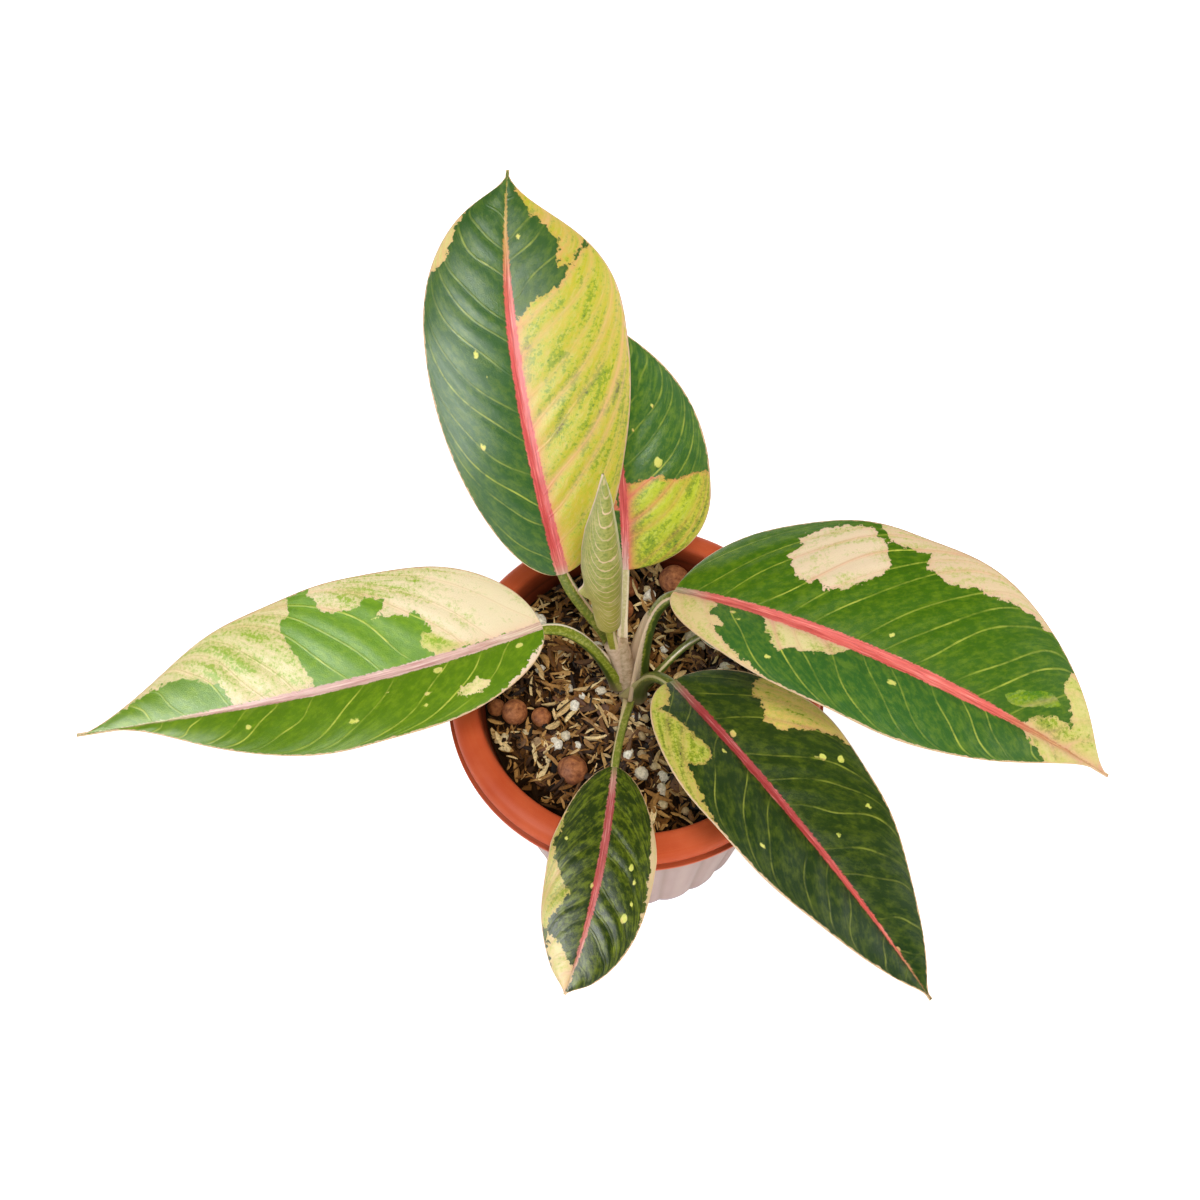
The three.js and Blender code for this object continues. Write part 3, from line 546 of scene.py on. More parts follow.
def blade_points(leaf, u, v):
    """Upper points and normals of a blade at the grid u by v, and each point's way from the midrib."""
    along, across, out = (axis[:, None] for axis in midrib_frame(leaf, u))
    middle = midrib_line(leaf, u)[:, None]
    side = np.where(v > 0, 1.0, -1.0)[None, :, None]
    size = np.abs(v)[None, :, None]
    width = half_width(leaf, v[None] > 0, u[:, None])[..., None]
    fold = np.radians(np.where(v > 0, leaf["fold_left"], leaf["fold_right"]))[None, :, None]
    camber = np.radians(leaf["camber"])
    slope = fold - camber * size
    reach = width * (np.sin(fold) - np.sin(slope)) / camber
    wave = leaf["ripple"] * np.sin(2 * np.pi * RIPPLES * u[:, None, None] + side) * size**2
    wave = wave * np.sin(np.pi * u)[:, None, None]
    lift = width * (np.cos(slope) - np.cos(fold)) / camber + wave
    normal = np.cos(slope) * out - side * np.sin(slope) * across
    return middle + side * reach * across + lift * out, normal, width[..., 0] * size[..., 0]


def relief(leaf, seed, u, v, from_midrib):
    """Height of the fine relief in mm: swellings between veins, less a channel on the midrib."""
    phase = vein_phase(leaf, seed, u[:, None], v[None])
    calm = np.sin(np.pi * np.clip(np.abs(v), 0, 1) ** 0.8)[None] * np.sin(np.pi * u)[:, None] ** 0.5
    quilt = QUILT_HEIGHT * calm * (0.5 - 0.5 * np.cos(2 * np.pi * phase)) ** 0.8
    rib = leaf["stalk"] * (1 - u[:, None]) ** 0.6 + 0.3
    channel = CHANNEL_DEPTH * np.exp(-((from_midrib / rib) ** 2)) * (1 - u[:, None]) ** 0.5
    return quilt - channel


print("blade grid:", BLADE_ROWS, "by", 2 * BLADE_COLUMNS)

# %% [markdown]
# The markings need numbers at each point: how far inside an island it lies in millimetres, what tint
# the nearest island has, how far the margin is, and where the point lies in coordinates that follow
# the veins, so that specks stretch along them.


# %% Marking fields
def outline_distance(points, outline):
    """Signed distance in mm from each point to a closed outline, positive inside."""
    inside = np.zeros(points.shape[:-1], bool)
    nearest = np.full(points.shape[:-1], 1e9)
    for start, end in zip(outline, np.roll(outline, -1, axis=0)):
        edge = end - start
        offset = points - start
        t = np.clip((offset @ edge) / (edge @ edge), 0, 1)
        nearest = np.minimum(nearest, np.linalg.norm(offset - t[..., None] * edge, axis=-1))
        straddles = (start[1] > points[..., 1]) != (end[1] > points[..., 1])
        rise = edge[1] if abs(edge[1]) > 1e-9 else 1e-9
        inside ^= straddles & (points[..., 0] < start[0] + edge[0] * (points[..., 1] - start[1]) / rise)
    return np.where(inside, nearest, -nearest)


def flat_place(leaf, along, across):
    """Percent along and across a leaf as millimetres on the flattened blade. Across percents over 100
    count from the widest place, so they are past the margin everywhere."""
    u, v = np.asarray(along) / 100, np.asarray(across) / 100
    widest = np.where(v > 0, leaf["left"], leaf["right"])
    width = np.where(np.abs(v) > 1, widest, half_width(leaf, v > 0, np.clip(u, 0, 1)))
    return np.stack([u * leaf["length"], v * width], -1)


def island_fields(name, leaf, u, v):
    """How far inside an island each point is, and the tint, scatter and raggedness there."""
    flat = flat_place(leaf, 100 * u[:, None] + 0 * v[None], 100 * v[None] + 0 * u[:, None])
    marks = [(outline_distance(flat, flat_place(leaf, *np.array(outline, float).T)), colour, share,
              *(ragged or [1.0])) for outline, colour, share, *ragged in ISLANDS[name]]
    marks += [(radius - np.linalg.norm((flat - flat_place(leaf, along, across)) * [0.7, 1], axis=-1),
               SPOT_TINT, SPOT_SCATTER, 0.3) for along, across, radius in SPOTS[name]]
    total, fields = 1e-12, np.zeros(flat.shape[:-1] + (5,))
    for distance, colour, share, ragged in marks:
        weight = np.exp(np.clip(distance, -12, 12) * 1.5)[..., None]
        fields += weight * np.array([*linear(colour)[:3], share, ragged])
        total = total + weight
    fields /= total
    for along, across, radius, amount in DRIFTS[name]:
        apart = np.linalg.norm(flat - flat_place(leaf, along, across), axis=-1)
        fields[..., 3] += amount * np.exp(-((apart / radius) ** 2))
    depth = np.max([mark[0] for mark in marks], axis=0)
    return depth, fields[..., :3], np.clip(fields[..., 3], 0, 1), fields[..., 4]


def stops(pairs, u):
    """A value at each u from (percent, value) stops. A value is a number or a hex colour."""
    places = [place / 100 for place, _ in pairs]
    values = np.array([linear(value) if isinstance(value, str) else [value] for _, value in pairs])
    return np.stack([np.interp(u, places, channel) for channel in values.T], -1)


print("distance test:", outline_distance(np.array([[1.0, 1.0]]), np.array([[0, 0], [4, 0], [4, 4], [0, 4]])))

# %% [markdown]
# ## The leaf's finish
# A leaf is wax over wet tissue: a semi-gloss skin, a little light passing through it, and colour in
# layers. From the bottom up these are green with soft clouds, islands with a ragged border and green
# specks, veins, the midrib with its blush, and a pale line on the margin. Each layer is a short
# function here, and all of them read the same attributes and noises.

# %% What the leaf's layers share
LIME = "#a9bd1c"
LEAF_FIELDS = {
    "Fac": ("cloudy", "jag", "island", "scatter", "phase", "steep", "outer", "glow", "rib", "blush",
            "margin", "under"),
    "Vector": ("grain", "lengthwise"),
    "Color": ("green", "island_tint", "pink", "rib_tint"),
}
LEAF_NOISES = {
    "clouds": ("place", 240.0, 6.0, 0.72), "ragged": ("place", 400.0, 4.0, 0.62),
    "specks": ("place", 800.0, 5.0, 0.7), "streaky": ("grain", 0.45, 4.0, 0.66),
    "flecks": ("grain", 1.3, 2.0, 0.6), "drifts": ("grain", 0.16, 2.0, 0.6),
    "tones": ("grain", 0.6, 3.0, 0.6), "fringe": ("grain", 0.9, 3.0, 0.7),
    "skin": ("grain", 2.4, 4.0, 0.75), "streaks": ("lengthwise", 1.9, 3.0, 0.65),
}


def leaf_values(tree):
    """The marking attributes and the noises. The scale of a noise on place is in lumps per metre, and
    on grain or lengthwise in lumps per millimetre of those stretched coordinates."""
    values = {
        name: node(tree, "Attribute", {}, attribute_name=name).outputs[output]
        for output, names in LEAF_FIELDS.items() for name in names
    }
    values["place"] = node(tree, "TexCoord", {}).outputs["Object"]
    for name, (vector, scale, detail, roughness) in LEAF_NOISES.items():
        inputs = {"Vector": values[vector], "Scale": scale, "Detail": detail, "Roughness": roughness}
        values[name] = node(tree, "TexNoise", inputs)
    return values


print(len(LEAF_NOISES), "noises for the leaf, and", sum(map(len, LEAF_FIELDS.values())), "attributes")

# %% [markdown]
# Green tissue isn't one green. Cells with less air under them look darker, others yellower, and small
# lime flecks follow the veins.


# %% Green tissue
def green_layer(tree, leaf):
    """The leaf's green, darker and lighter by two noises, with lime flecks on top."""
    green = leaf["green"]
    cloud_share = node(tree, "Math", [leaf["clouds"], 0.45], operation="MULTIPLY")
    mottling = node(tree, "Math", [leaf["streaky"], 0.55, cloud_share], operation="MULTIPLY_ADD")
    dark = node(tree, "Mix", {0: 1.0, 6: green, 7: "#b4bcb4"}, data_type="RGBA",
                blend_type="MULTIPLY").outputs[2]
    light = node(tree, "Mix", {0: 0.5, 6: green, 7: "#8f9c1c"}, data_type="RGBA").outputs[2]
    mottle = node(tree, "MapRange", [mottling, 0.46, 0.6])
    mottled = node(tree, "Mix", {0: mottle, 6: dark, 7: light}, data_type="RGBA").outputs[2]
    cells = node(tree, "Mix", {0: leaf["cloudy"], 6: green, 7: mottled}, data_type="RGBA").outputs[2]
    flecks = node(tree, "Math", [leaf["clouds"], 0.35, leaf["flecks"]], operation="MULTIPLY_ADD")
    fleck = node(tree, "MapRange", [flecks, 0.88, 0.94, 0, 0.4])
    fleck_tint = node(tree, "Mix", {0: 0.5, 6: green, 7: LIME}, data_type="RGBA").outputs[2]
    return node(tree, "Mix", {0: fleck, 6: cells, 7: fleck_tint}, data_type="RGBA").outputs[2]


print("lime of the flecks as linear:", [round(part, 3) for part in linear(LIME)[:3]])

# %% [markdown]
# An island is pale tissue with green cells scattered in it. Its border is the distance to the drawn
# outline, pushed in and out by noise. Where the scatter is thick, green first washes the tint, then
# stands in specks, and in the thickest places the leaf's own green is back.

# %% Pale islands
def island_border(tree, leaf):
    """Millimetres inside the island, after noise has pushed the outline by up to about 1.6 mm."""
    shift = node(tree, "MapRange", [leaf["ragged"], 0.25, 0.75, -1.6, 1.6], clamp=False)
    return node(tree, "Math", [shift, leaf["jag"], leaf["island"]], operation="MULTIPLY_ADD")


def island_layer(tree, leaf):
    """The island's tint, washed and specked with green where two noises pass a threshold."""
    green, tint = leaf["green"], leaf["island_tint"]
    crowd = node(tree, "Math", [leaf["drifts"], 0.8, leaf["specks"]], operation="MULTIPLY_ADD")
    threshold = node(tree, "MapRange", [leaf["scatter"], 0, 1, 1.18, 0.86])
    over = node(tree, "Math", [crowd, threshold], operation="SUBTRACT")
    wash = node(tree, "MapRange", [over, -0.2, 0.06, 0, 0.9])
    wash_tint = node(tree, "Mix", {0: 0.66, 6: tint, 7: LIME}, data_type="RGBA").outputs[2]
    washed = node(tree, "Mix", {0: wash, 6: tint, 7: wash_tint}, data_type="RGBA").outputs[2]
    paler = node(tree, "Mix", {0: 0.5, 6: tint, 7: "#f6ecc4"}, data_type="RGBA").outputs[2]
    tone = node(tree, "MapRange", [leaf["tones"], 0.48, 0.66, 0, 0.2])
    washed = node(tree, "Mix", {0: tone, 6: washed, 7: paler}, data_type="RGBA").outputs[2]
    speck = node(tree, "MapRange", [over, 0.05, 0.09, 0, 0.85])
    speck_tint = node(tree, "Mix", {0: 0.55, 6: green, 7: LIME}, data_type="RGBA").outputs[2]
    pale = node(tree, "Mix", {0: speck, 6: washed, 7: speck_tint}, data_type="RGBA").outputs[2]
    darkest = node(tree, "MapRange", [over, 0.2, 0.26])
    return node(tree, "Mix", {0: darkest, 6: pale, 7: green}, data_type="RGBA").outputs[2]


print("the tall leaf has", len(ISLANDS["north"]), "islands and", len(SPOTS["north"]), "spots")

# %% [markdown]
# The phase is a whole number on each vein, so its distance to the nearest whole number, over how
# steeply it changes, is the way to the vein in millimetres. Each vein has a strength of its own. On
# green the veins are thin and yellow, and they fade at the midrib, at the margin and in breaks.


# %% Veins on green
def vein_distance(tree, leaf):
    """Millimetres from the nearest vein, and that vein's own random strength from 0 to 1."""
    phase = node(tree, "Math", [leaf["phase"], 0.5], operation="ADD")
    part = node(tree, "Math", [phase], operation="FRACT")
    off_vein = node(tree, "Math", [part, 0.5], operation="SUBTRACT")
    spacings = node(tree, "Math", [off_vein], operation="ABSOLUTE")
    away = node(tree, "Math", [spacings, leaf["steep"]], operation="DIVIDE")
    number = node(tree, "Math", [phase], operation="FLOOR")
    strength = node(tree, "TexWhiteNoise", {"W": number}, noise_dimensions="1D").outputs["Value"]
    return away, strength


def vein_layer(tree, leaf, line, strength, cells):
    """Yellow veins: the line times the vein's strength, its fading, its breaks and the leaf's glow."""
    off_midrib = node(tree, "MapRange", [leaf["outer"], 0.05, 0.25, 0.3, 1.0])
    off_margin = node(tree, "MapRange", [leaf["outer"], 0.97, 0.8, 0.2, 1.0])
    fade = node(tree, "Math", [off_midrib, off_margin], operation="MULTIPLY")
    unbroken = node(tree, "MapRange", [leaf["clouds"], 0.33, 0.5, 0.25, 1.0])
    each_vein = node(tree, "MapRange", [strength, 0, 1, 0.4, 1.0])
    drifting = node(tree, "MapRange", [leaf["drifts"], 0.36, 0.56, 0.35, 1.15], clamp=False)
    vivid = node(tree, "Math", [fade, unbroken], operation="MULTIPLY")
    vivid = node(tree, "Math", [each_vein, vivid], operation="MULTIPLY")
    vivid = node(tree, "Math", [vivid, drifting], operation="MULTIPLY")
    brightness = node(tree, "Math", [vivid, leaf["glow"]], operation="MULTIPLY")
    vein = node(tree, "Math", [line, brightness], operation="MULTIPLY")
    return node(tree, "Mix", {0: vein, 6: cells, 7: "#d8dc58"}, data_type="RGBA").outputs[2]


print("the tall leaf has", LEAVES["north"]["veins"], "vein spacings along its midrib")

# %% [markdown]
# On the pale islands the veins are broad and soft. The pink of the midrib runs into them, spreads over
# the island beside the midrib, and stains its border.


# %% Veins and blush on the islands
def soft_veins(tree, leaf, away, strength, rib_near, pale):
    """Soft veins that widen with the scatter, from straw to pink as they near the midrib."""
    reach = node(tree, "Math", [leaf["scatter"], 2.0, 0.8], operation="MULTIPLY_ADD")
    line = node(tree, "MapRange", [away, reach, 0.0])
    line = node(tree, "Math", [line, 1.4], operation="POWER")
    each_vein = node(tree, "MapRange", [strength, 0, 1, 0.15, 0.8])
    vein = node(tree, "Math", [line, each_vein], operation="MULTIPLY")
    pinkness = node(tree, "Math", [rib_near, 0.5], operation="MULTIPLY")
    pinkness = node(tree, "Math", [leaf["blush"], pinkness], operation="ADD")
    tint = node(tree, "Mix", {0: pinkness, 6: "#e8c98a", 7: leaf["pink"]}, data_type="RGBA").outputs[2]
    return node(tree, "Mix", {0: vein, 6: pale, 7: tint}, data_type="RGBA").outputs[2]


def blush_layer(tree, leaf, border, rib_near, pale):
    """Pink beside the midrib, with the fourth power of nearness, and along the ragged border."""
    pinkness = node(tree, "Math", [leaf["blush"], 0.7, 0.2], operation="MULTIPLY_ADD")
    glow = node(tree, "Math", [rib_near, 2.0], operation="POWER")
    glow = node(tree, "Math", [glow, pinkness], operation="MULTIPLY")
    pale = node(tree, "Mix", {0: glow, 6: pale, 7: leaf["pink"]}, data_type="RGBA").outputs[2]
    beside = node(tree, "MapRange", [border, 1.6, 0.1])
    rough = node(tree, "MapRange", [leaf["jag"], 0.3, 1])
    beside = node(tree, "Math", [beside, rough], operation="MULTIPLY")
    stain = node(tree, "Math", [leaf["blush"], 0.3, 0.12], operation="MULTIPLY_ADD")
    stain = node(tree, "Math", [beside, stain], operation="MULTIPLY")
    return node(tree, "Mix", {0: stain, 6: pale, 7: leaf["pink"]}, data_type="RGBA").outputs[2]


print("the tall leaf's pink is", TINTS["north"]["pink"])

# %% [markdown]
# The midrib is a band of its own colour with a frayed edge and fine streaks along it. The margin is a
# pale line of uneven width, and the lower face is the same leaf under a greyer green.


# %% Midrib, margin and lower face
def midrib_layer(tree, leaf, colour):
    """The midrib's band: darker and paler streaks on its tint, with an edge that noise frays."""
    fringe_mm = node(tree, "MapRange", [leaf["fringe"], 0.2, 0.8, -0.7, 0.5], clamp=False)
    rib_mm = node(tree, "Math", [leaf["rib"], fringe_mm], operation="ADD")
    rib = node(tree, "MapRange", [rib_mm, -0.15, 0.2])
    tint = leaf["rib_tint"]
    shade = node(tree, "Mix", {0: 1.0, 6: tint, 7: "#d8b4b4"}, data_type="RGBA",
                 blend_type="MULTIPLY").outputs[2]
    light = node(tree, "MapRange", [leaf["streaks"], 0.36, 0.62])
    streaked = node(tree, "Mix", {0: light, 6: shade, 7: tint}, data_type="RGBA").outputs[2]
    palest = node(tree, "MapRange", [leaf["streaks"], 0.58, 0.72, 0, 0.3])
    streaked = node(tree, "Mix", {0: palest, 6: streaked, 7: "#ffe9dc"}, data_type="RGBA").outputs[2]
    return node(tree, "Mix", {0: rib, 6: colour, 7: streaked}, data_type="RGBA").outputs[2]


def margin_and_back(tree, leaf, colour):
    """A pale margin about half a millimetre wide, and a grey-green veil on the lower face."""
    wander = node(tree, "MapRange", [leaf["ragged"], 0.3, 0.7, -0.3, 0.4], clamp=False)
    margin_mm = node(tree, "Math", [leaf["margin"], wander], operation="SUBTRACT")
    margin = node(tree, "MapRange", [margin_mm, 0.6, 0.3])
    colour = node(tree, "Mix", {0: margin, 6: colour, 7: "#e2bd92"}, data_type="RGBA").outputs[2]
    veiled = node(tree, "Mix", {0: 0.45, 6: colour, 7: "#a9bd8c"}, data_type="RGBA").outputs[2]
    return node(tree, "Mix", {0: leaf["under"], 6: colour, 7: veiled}, data_type="RGBA").outputs[2]


print("the tall leaf's midrib is", 2 * TINTS["north"]["rib_half"][0][1], "mm wide at its base")

# %% [markdown]
# Last come the gloss and the skin. Wax over living cells has an IOR of about 1.45. Fine bumps and
# sunken veins break the gloss, and the lower face is duller.


# %% Leaf finish
def leaf_colour(tree, leaf):
    """All the colour layers from the bottom up, and the thin line of the veins."""
    border = island_border(tree, leaf)
    island = node(tree, "MapRange", [border, -0.14, 0.14])
    away, strength = vein_distance(tree, leaf)
    line = node(tree, "MapRange", [away, 0.4, 0.15])
    rib_near = node(tree, "MapRange", [leaf["rib"], -9.0, 0.0])
    rib_near = node(tree, "Math", [rib_near, 2.0], operation="POWER")
    cells = vein_layer(tree, leaf, line, strength, green_layer(tree, leaf))
    pale = soft_veins(tree, leaf, away, strength, rib_near, island_layer(tree, leaf))
    pale = blush_layer(tree, leaf, border, rib_near, pale)
    colour = node(tree, "Mix", {0: island, 6: cells, 7: pale}, data_type="RGBA").outputs[2]
    colour = midrib_layer(tree, leaf, colour)
    return margin_and_back(tree, leaf, colour), line


def leaf_finish():
    """Living leaf under wax: a thin glow of light from inside, colour, skin bumps and gloss."""
    material, tree, shader = new_finish("waxy_leaf", 0.36, 1.45, Subsurface_Weight=0.05)
    shader.inputs["Subsurface Radius"].default_value = (0.4, 1.0, 0.2)
    shader.inputs["Subsurface Scale"].default_value = 0.001
    leaf = leaf_values(tree)
    colour, line = leaf_colour(tree, leaf)
    tree.links.new(colour, shader.inputs["Base Color"])
    skin = node(tree, "Math", [leaf["ragged"], 0.5, leaf["skin"]], operation="MULTIPLY_ADD")
    height = node(tree, "Math", [line, -0.4, skin], operation="MULTIPLY_ADD")
    bump = node(tree, "Bump", {"Height": height, "Strength": 0.6, "Distance": 0.00025})
    tree.links.new(bump.outputs["Normal"], shader.inputs["Normal"])
    gloss = node(tree, "MapRange", [leaf["specks"], 0.3, 0.7, 0.28, 0.38])
    rough = node(tree, "Math", [leaf["under"], 0.25, gloss], operation="MULTIPLY_ADD")
    tree.links.new(rough.outputs[0], shader.inputs["Roughness"])
    return material


WAXY_LEAF = leaf_finish()
print("leaf finish has", len(WAXY_LEAF.node_tree.nodes), "nodes")

# %% [markdown]
# The finish reads its markings from attributes, which are numbers stored at each point of the blade.
# Lengths are in millimetres and shares run from 0 to 1. The two halves of a blade get greens of their
# own, and grain is shifted between leaves and halves, so that no two have the same specks.


# %% Marking attributes
def blade_fields(name, leaf, seed, u, v, points, from_midrib):
    """The attributes on the grid u by v: the island fields, the vein phase and its steepness, the ways
    to the midrib and the margin, coordinates along the veins and along the midrib, and the tints."""
    phase = vein_phase(leaf, seed, u[:, None], v[None])
    depth, tint, scatter, jag = island_fields(name, leaf, u, v)
    tints = TINTS[name]
    side_tint = np.where((v > 0)[:, None], linear(tints["green"][0]), linear(tints["green"][1]))
    towards_tip = np.clip((u - 0.6) / 0.35, 0, 1)[:, None, None]
    width = half_width(leaf, v[None] > 0, u[:, None])
    whole = np.ones_like(width)
    signed = np.where(v > 0, 1, -1)[None] * from_midrib
    return {
        "island": depth, "scatter": scatter, "jag": jag, "margin": width * (1 - np.abs(v)[None]),
        "phase": phase, "steep": steepness(phase, points), "outer": np.abs(v)[None] * whole,
        "rib": stops(tints["rib_half"], u) - from_midrib, "blush": tints["blush"] * whole,
        "glow": tints["glow"] * np.clip((0.93 - u) / 0.08, 0, 1)[:, None] * whole,
        "cloudy": tints["cloudy"] * whole,
        "grain": np.stack([vein_start(leaf, u[:, None], v[None]), 0.8 * from_midrib,
                           np.where(v > 0, 30.0 * seed, 30.0 * seed + 13)[None] * whole], -1),
        "lengthwise": np.stack([signed, 0.04 * leaf["length"] * u[:, None] * whole, seed * whole], -1),
        "island_tint": np.concatenate([tint, whole[..., None]], -1),
        "green": side_tint[None] * (1 - towards_tip) + np.array(linear(tints["tip"])) * towards_tip,
        "rib_tint": stops(tints["rib"], u)[:, None] * whole[..., None],
        "pink": np.array(linear(tints["pink"])) * whole[..., None],
    }


print("the tall leaf's left half is", TINTS["north"]["green"][0], "and its right", TINTS["north"]["green"][1])

# %% [markdown]
# Now each blade is put together: two sheets of the same grid, joined by a strip round the margin. The
# rows are closer at the base and the tip, where the outline bends most, and the columns are closer at
# the midrib and the margin.


# %% Blades
def blade(name, leaf, seed):
    """One blade as a closed sheet with its marking attributes."""
    rows = np.linspace(0, 1, BLADE_ROWS + 1)
    u = rows - 0.6 * np.sin(2 * np.pi * rows) / (2 * np.pi)
    half = np.linspace(0, 1, BLADE_COLUMNS + 1)
    half = half - 0.5 * np.sin(2 * np.pi * half) / (2 * np.pi)
    v = np.concatenate([half[::-1], -half[1:]])
    points, normal, from_midrib = blade_points(leaf, u, v)
    upper = points + normal * relief(leaf, seed, u, v, from_midrib)[..., None]
    thick = MARGIN_THICKNESS + (BLADE_THICKNESS - MARGIN_THICKNESS) * (1 - np.abs(v) ** 4)[None]
    rib_radius = leaf["stalk"] * (1 - u) ** 0.5 + 0.25
    bulge = leaf["stalk"] * 1.1 * (1 - u) ** 0.8
    rib = bulge[:, None] * np.clip(1 - (from_midrib / (1.3 * rib_radius[:, None])) ** 2, 0, 1) ** 0.5
    lower = points - normal * (thick + rib)[..., None]
    faces = closed_sheet(len(u), len(v))[:, ::-1]
    fields = blade_fields(name, leaf, seed, u, v, points, from_midrib)
    count = len(u) * len(v)
    attributes = {
        key: np.concatenate([value.reshape(count, -1)] * 2).squeeze() for key, value in fields.items()
    }
    attributes["under"] = np.repeat([0.0, 1.0], count)
    both = np.concatenate([upper.reshape(-1, 3), lower.reshape(-1, 3)])
    return build("blade_" + name, both, faces, NO_TRIANGLES, WAXY_LEAF, "leaf_flesh",
                 ["leaf_" + name], attributes)


for leaf_seed, (leaf_name, open_leaf) in enumerate(LEAVES.items(), 1):
    blade(leaf_name, open_leaf, leaf_seed)

# %% [markdown]
# ## The stem and the leaf stalks
# The stem is short and hidden by the sheaths of the stalks. Each stalk leaves it in a sheath with two
# thin wings that clasp the younger stalks, and then narrows to a smooth, slightly channelled round.

# %% Stem line
MIX_TOP = POT_HEIGHT - 15
STEM_BURIED = 26
STEM_LINE = np.array([(-1.5, -1.2, MIX_TOP - STEM_BURIED), (-1.5, -1.2, MIX_TOP + 12), (-5.8, 5.8, 151)])
STEM_RADII = (6.4, 3.4)
SHEATH_END = 0.45


def bezier(controls, t):
    """Points of a Bezier curve of any degree at each t."""
    degree = len(controls) - 1
    weights = [math.comb(degree, k) * t**k * (1 - t) ** (degree - k) for k in range(degree + 1)]
    return np.stack(weights, -1) @ np.asarray(controls)


def even_curve(controls, count):
    """Points spaced evenly along a Bezier curve, and their directions."""
    fine = bezier(controls, np.linspace(0, 1, 400))
    run = np.concatenate([[0], np.cumsum(np.linalg.norm(np.diff(fine, axis=0), axis=1))])
    at = np.linspace(0, run[-1], count)
    line = np.stack([np.interp(at, run, fine[:, axis]) for axis in range(3)], -1)
    direction = np.gradient(line, axis=0)
    return line, direction / np.linalg.norm(direction, axis=1)[:, None]


def sweep(line, direction, facing, radius):
    """Rings round a line: radius has one row for each point and one column for each angle, and angle 0
    looks along facing."""
    across = facing - np.sum(facing * direction, -1, keepdims=True) * direction
    across = across / np.linalg.norm(across, axis=-1, keepdims=True)
    other = np.cross(direction, across)
    angle = np.linspace(0, 2 * np.pi, radius.shape[1], endpoint=False)
    spoke = np.cos(angle)[None, :, None] * across[:, None] + np.sin(angle)[None, :, None] * other[:, None]
    return line[:, None] + radius[..., None] * spoke


def with_poles(values):
    """Values on the rings of a closed tube, followed by those of its two end points."""
    return np.concatenate([values.ravel(), [values[0].mean(), values[-1].mean()]])


print("stem rises", STEM_LINE[-1][2] - MIX_TOP, "mm above the mix")

# %% [markdown]
# A stalk's skin is like the blade's, waxy and mottled. The upper side is paler, the back carries
# painted shade in dark green, and the two ridges that carry the sheath's edges are cream. Some stalks
# have one plain ridge.


# %% Stalk finish
STALK_TINTS = {
    "north": ("#66741c", "#a8a24c", "#2f4208", "#e0c09c", 1, 0),
    "northeast": ("#c4b884", "#dccfa6", "#a89c60", "#ead8b8", 1, 1),
    "west": ("#727e18", "#aeae50", "#374a06", "#efdcc0", 1, 0.2),
    "east": ("#5c6a10", "#98923e", "#33450a", "#d2b898", 1, 0.8),
    "southeast": ("#5a6420", "#7f8238", "#3c4a14", "#a8a06c", 1, 0.8),
    "south": ("#76802a", "#a09c50", "#465416", "#d2be90", 1, 0),
    "lower_east": ("#6a7420", "#989450", "#465812", "#d8c498", 1, 0),
    "young": ("#8a8a28", "#aaa848", "#6a701c", "#d9c296", 1, 0),
}


def stalk_finish(name):
    """Waxy stem tissue: pale flecks on green, painted shade in dark green on the back, cream ridges, dry at
    the foot.
    """
    green, pale, dark, cream = STALK_TINTS[name][:4]
    material, tree, shader = new_finish("waxy_stalk_" + name, 0.34, 1.45, Subsurface_Weight=0.06)
    shader.inputs["Subsurface Radius"].default_value = (0.8, 1.0, 0.3)
    shader.inputs["Subsurface Scale"].default_value = 0.0012
    ridge, painted_back_shade, along = (
        node(tree, "Attribute", {}, attribute_name=key).outputs["Fac"] for key in ("ridge", "painted_back_shade", "along")
    )
    place = node(tree, "TexCoord", {}).outputs["Object"]
    fleck = node(tree, "TexNoise", {"Vector": place, "Scale": 800.0, "Detail": 4.0, "Roughness": 0.72})
    patch = node(tree, "TexNoise", {"Vector": place, "Scale": 260.0, "Detail": 3.0})
    light = node(tree, "MapRange", [fleck, 0.48, 0.64])
    colour = node(tree, "Mix", {0: light, 6: green, 7: pale}, data_type="RGBA").outputs[2]
    # Painted shade: the back of the stalk turns dark green, in noisy patches.
    wander = node(tree, "Math", [patch, 0.5], operation="SUBTRACT")
    wander = node(tree, "Math", [wander, 1.2, painted_back_shade], operation="MULTIPLY_ADD")
    painted_shade_share = node(tree, "MapRange", [wander, 0.35, 0.65])
    colour = node(tree, "Mix", {0: painted_shade_share, 6: colour, 7: dark}, data_type="RGBA").outputs[2]
    edge = node(tree, "Math", [fleck, 0.5], operation="SUBTRACT")
    edge = node(tree, "Math", [edge, 0.6, ridge], operation="MULTIPLY_ADD")
    ridged = node(tree, "MapRange", [edge, 0.5, 0.75])
    colour = node(tree, "Mix", {0: ridged, 6: colour, 7: cream}, data_type="RGBA").outputs[2]
    dry = node(tree, "MapRange", [along, 0.14, 0.0, 0, 0.5])
    colour = node(tree, "Mix", {0: dry, 6: colour, 7: "#a88f70"}, data_type="RGBA").outputs[2]
    tree.links.new(colour, shader.inputs["Base Color"])
    bump = node(tree, "Bump", {"Height": fleck, "Strength": 0.12, "Distance": 0.0002})
    tree.links.new(bump.outputs["Normal"], shader.inputs["Normal"])
    return material


print("stalk tints for", len(STALK_TINTS), "stalks")

# %% [markdown]
# The stalk's path is the CAD's: a smooth curve from its socket on the stem to just under the blade.

# %% Stalks
STALK_ROWS = 90
STALK_SIDES = 40
SOCKET_DEPTH = 1.5
SOCKET_STEPS = 400
STALK_OVERLAP = 6
STALK_SEAT = 0.9
STALK_DROP = 0.2
RIDGE_ANGLE = 0.85
RIDGE_ANGLES = {"west": 0.55}
SHEATH_ENDS = {"east": 0.68}
GIRTH = {"northeast": 0.85}
FILLS = {"east": 0.8}
WINGS = {"east": 1.5, "southeast": 0.9}
SWELL = {"east": 0.7, "southeast": 0.9, "west": 0.7}


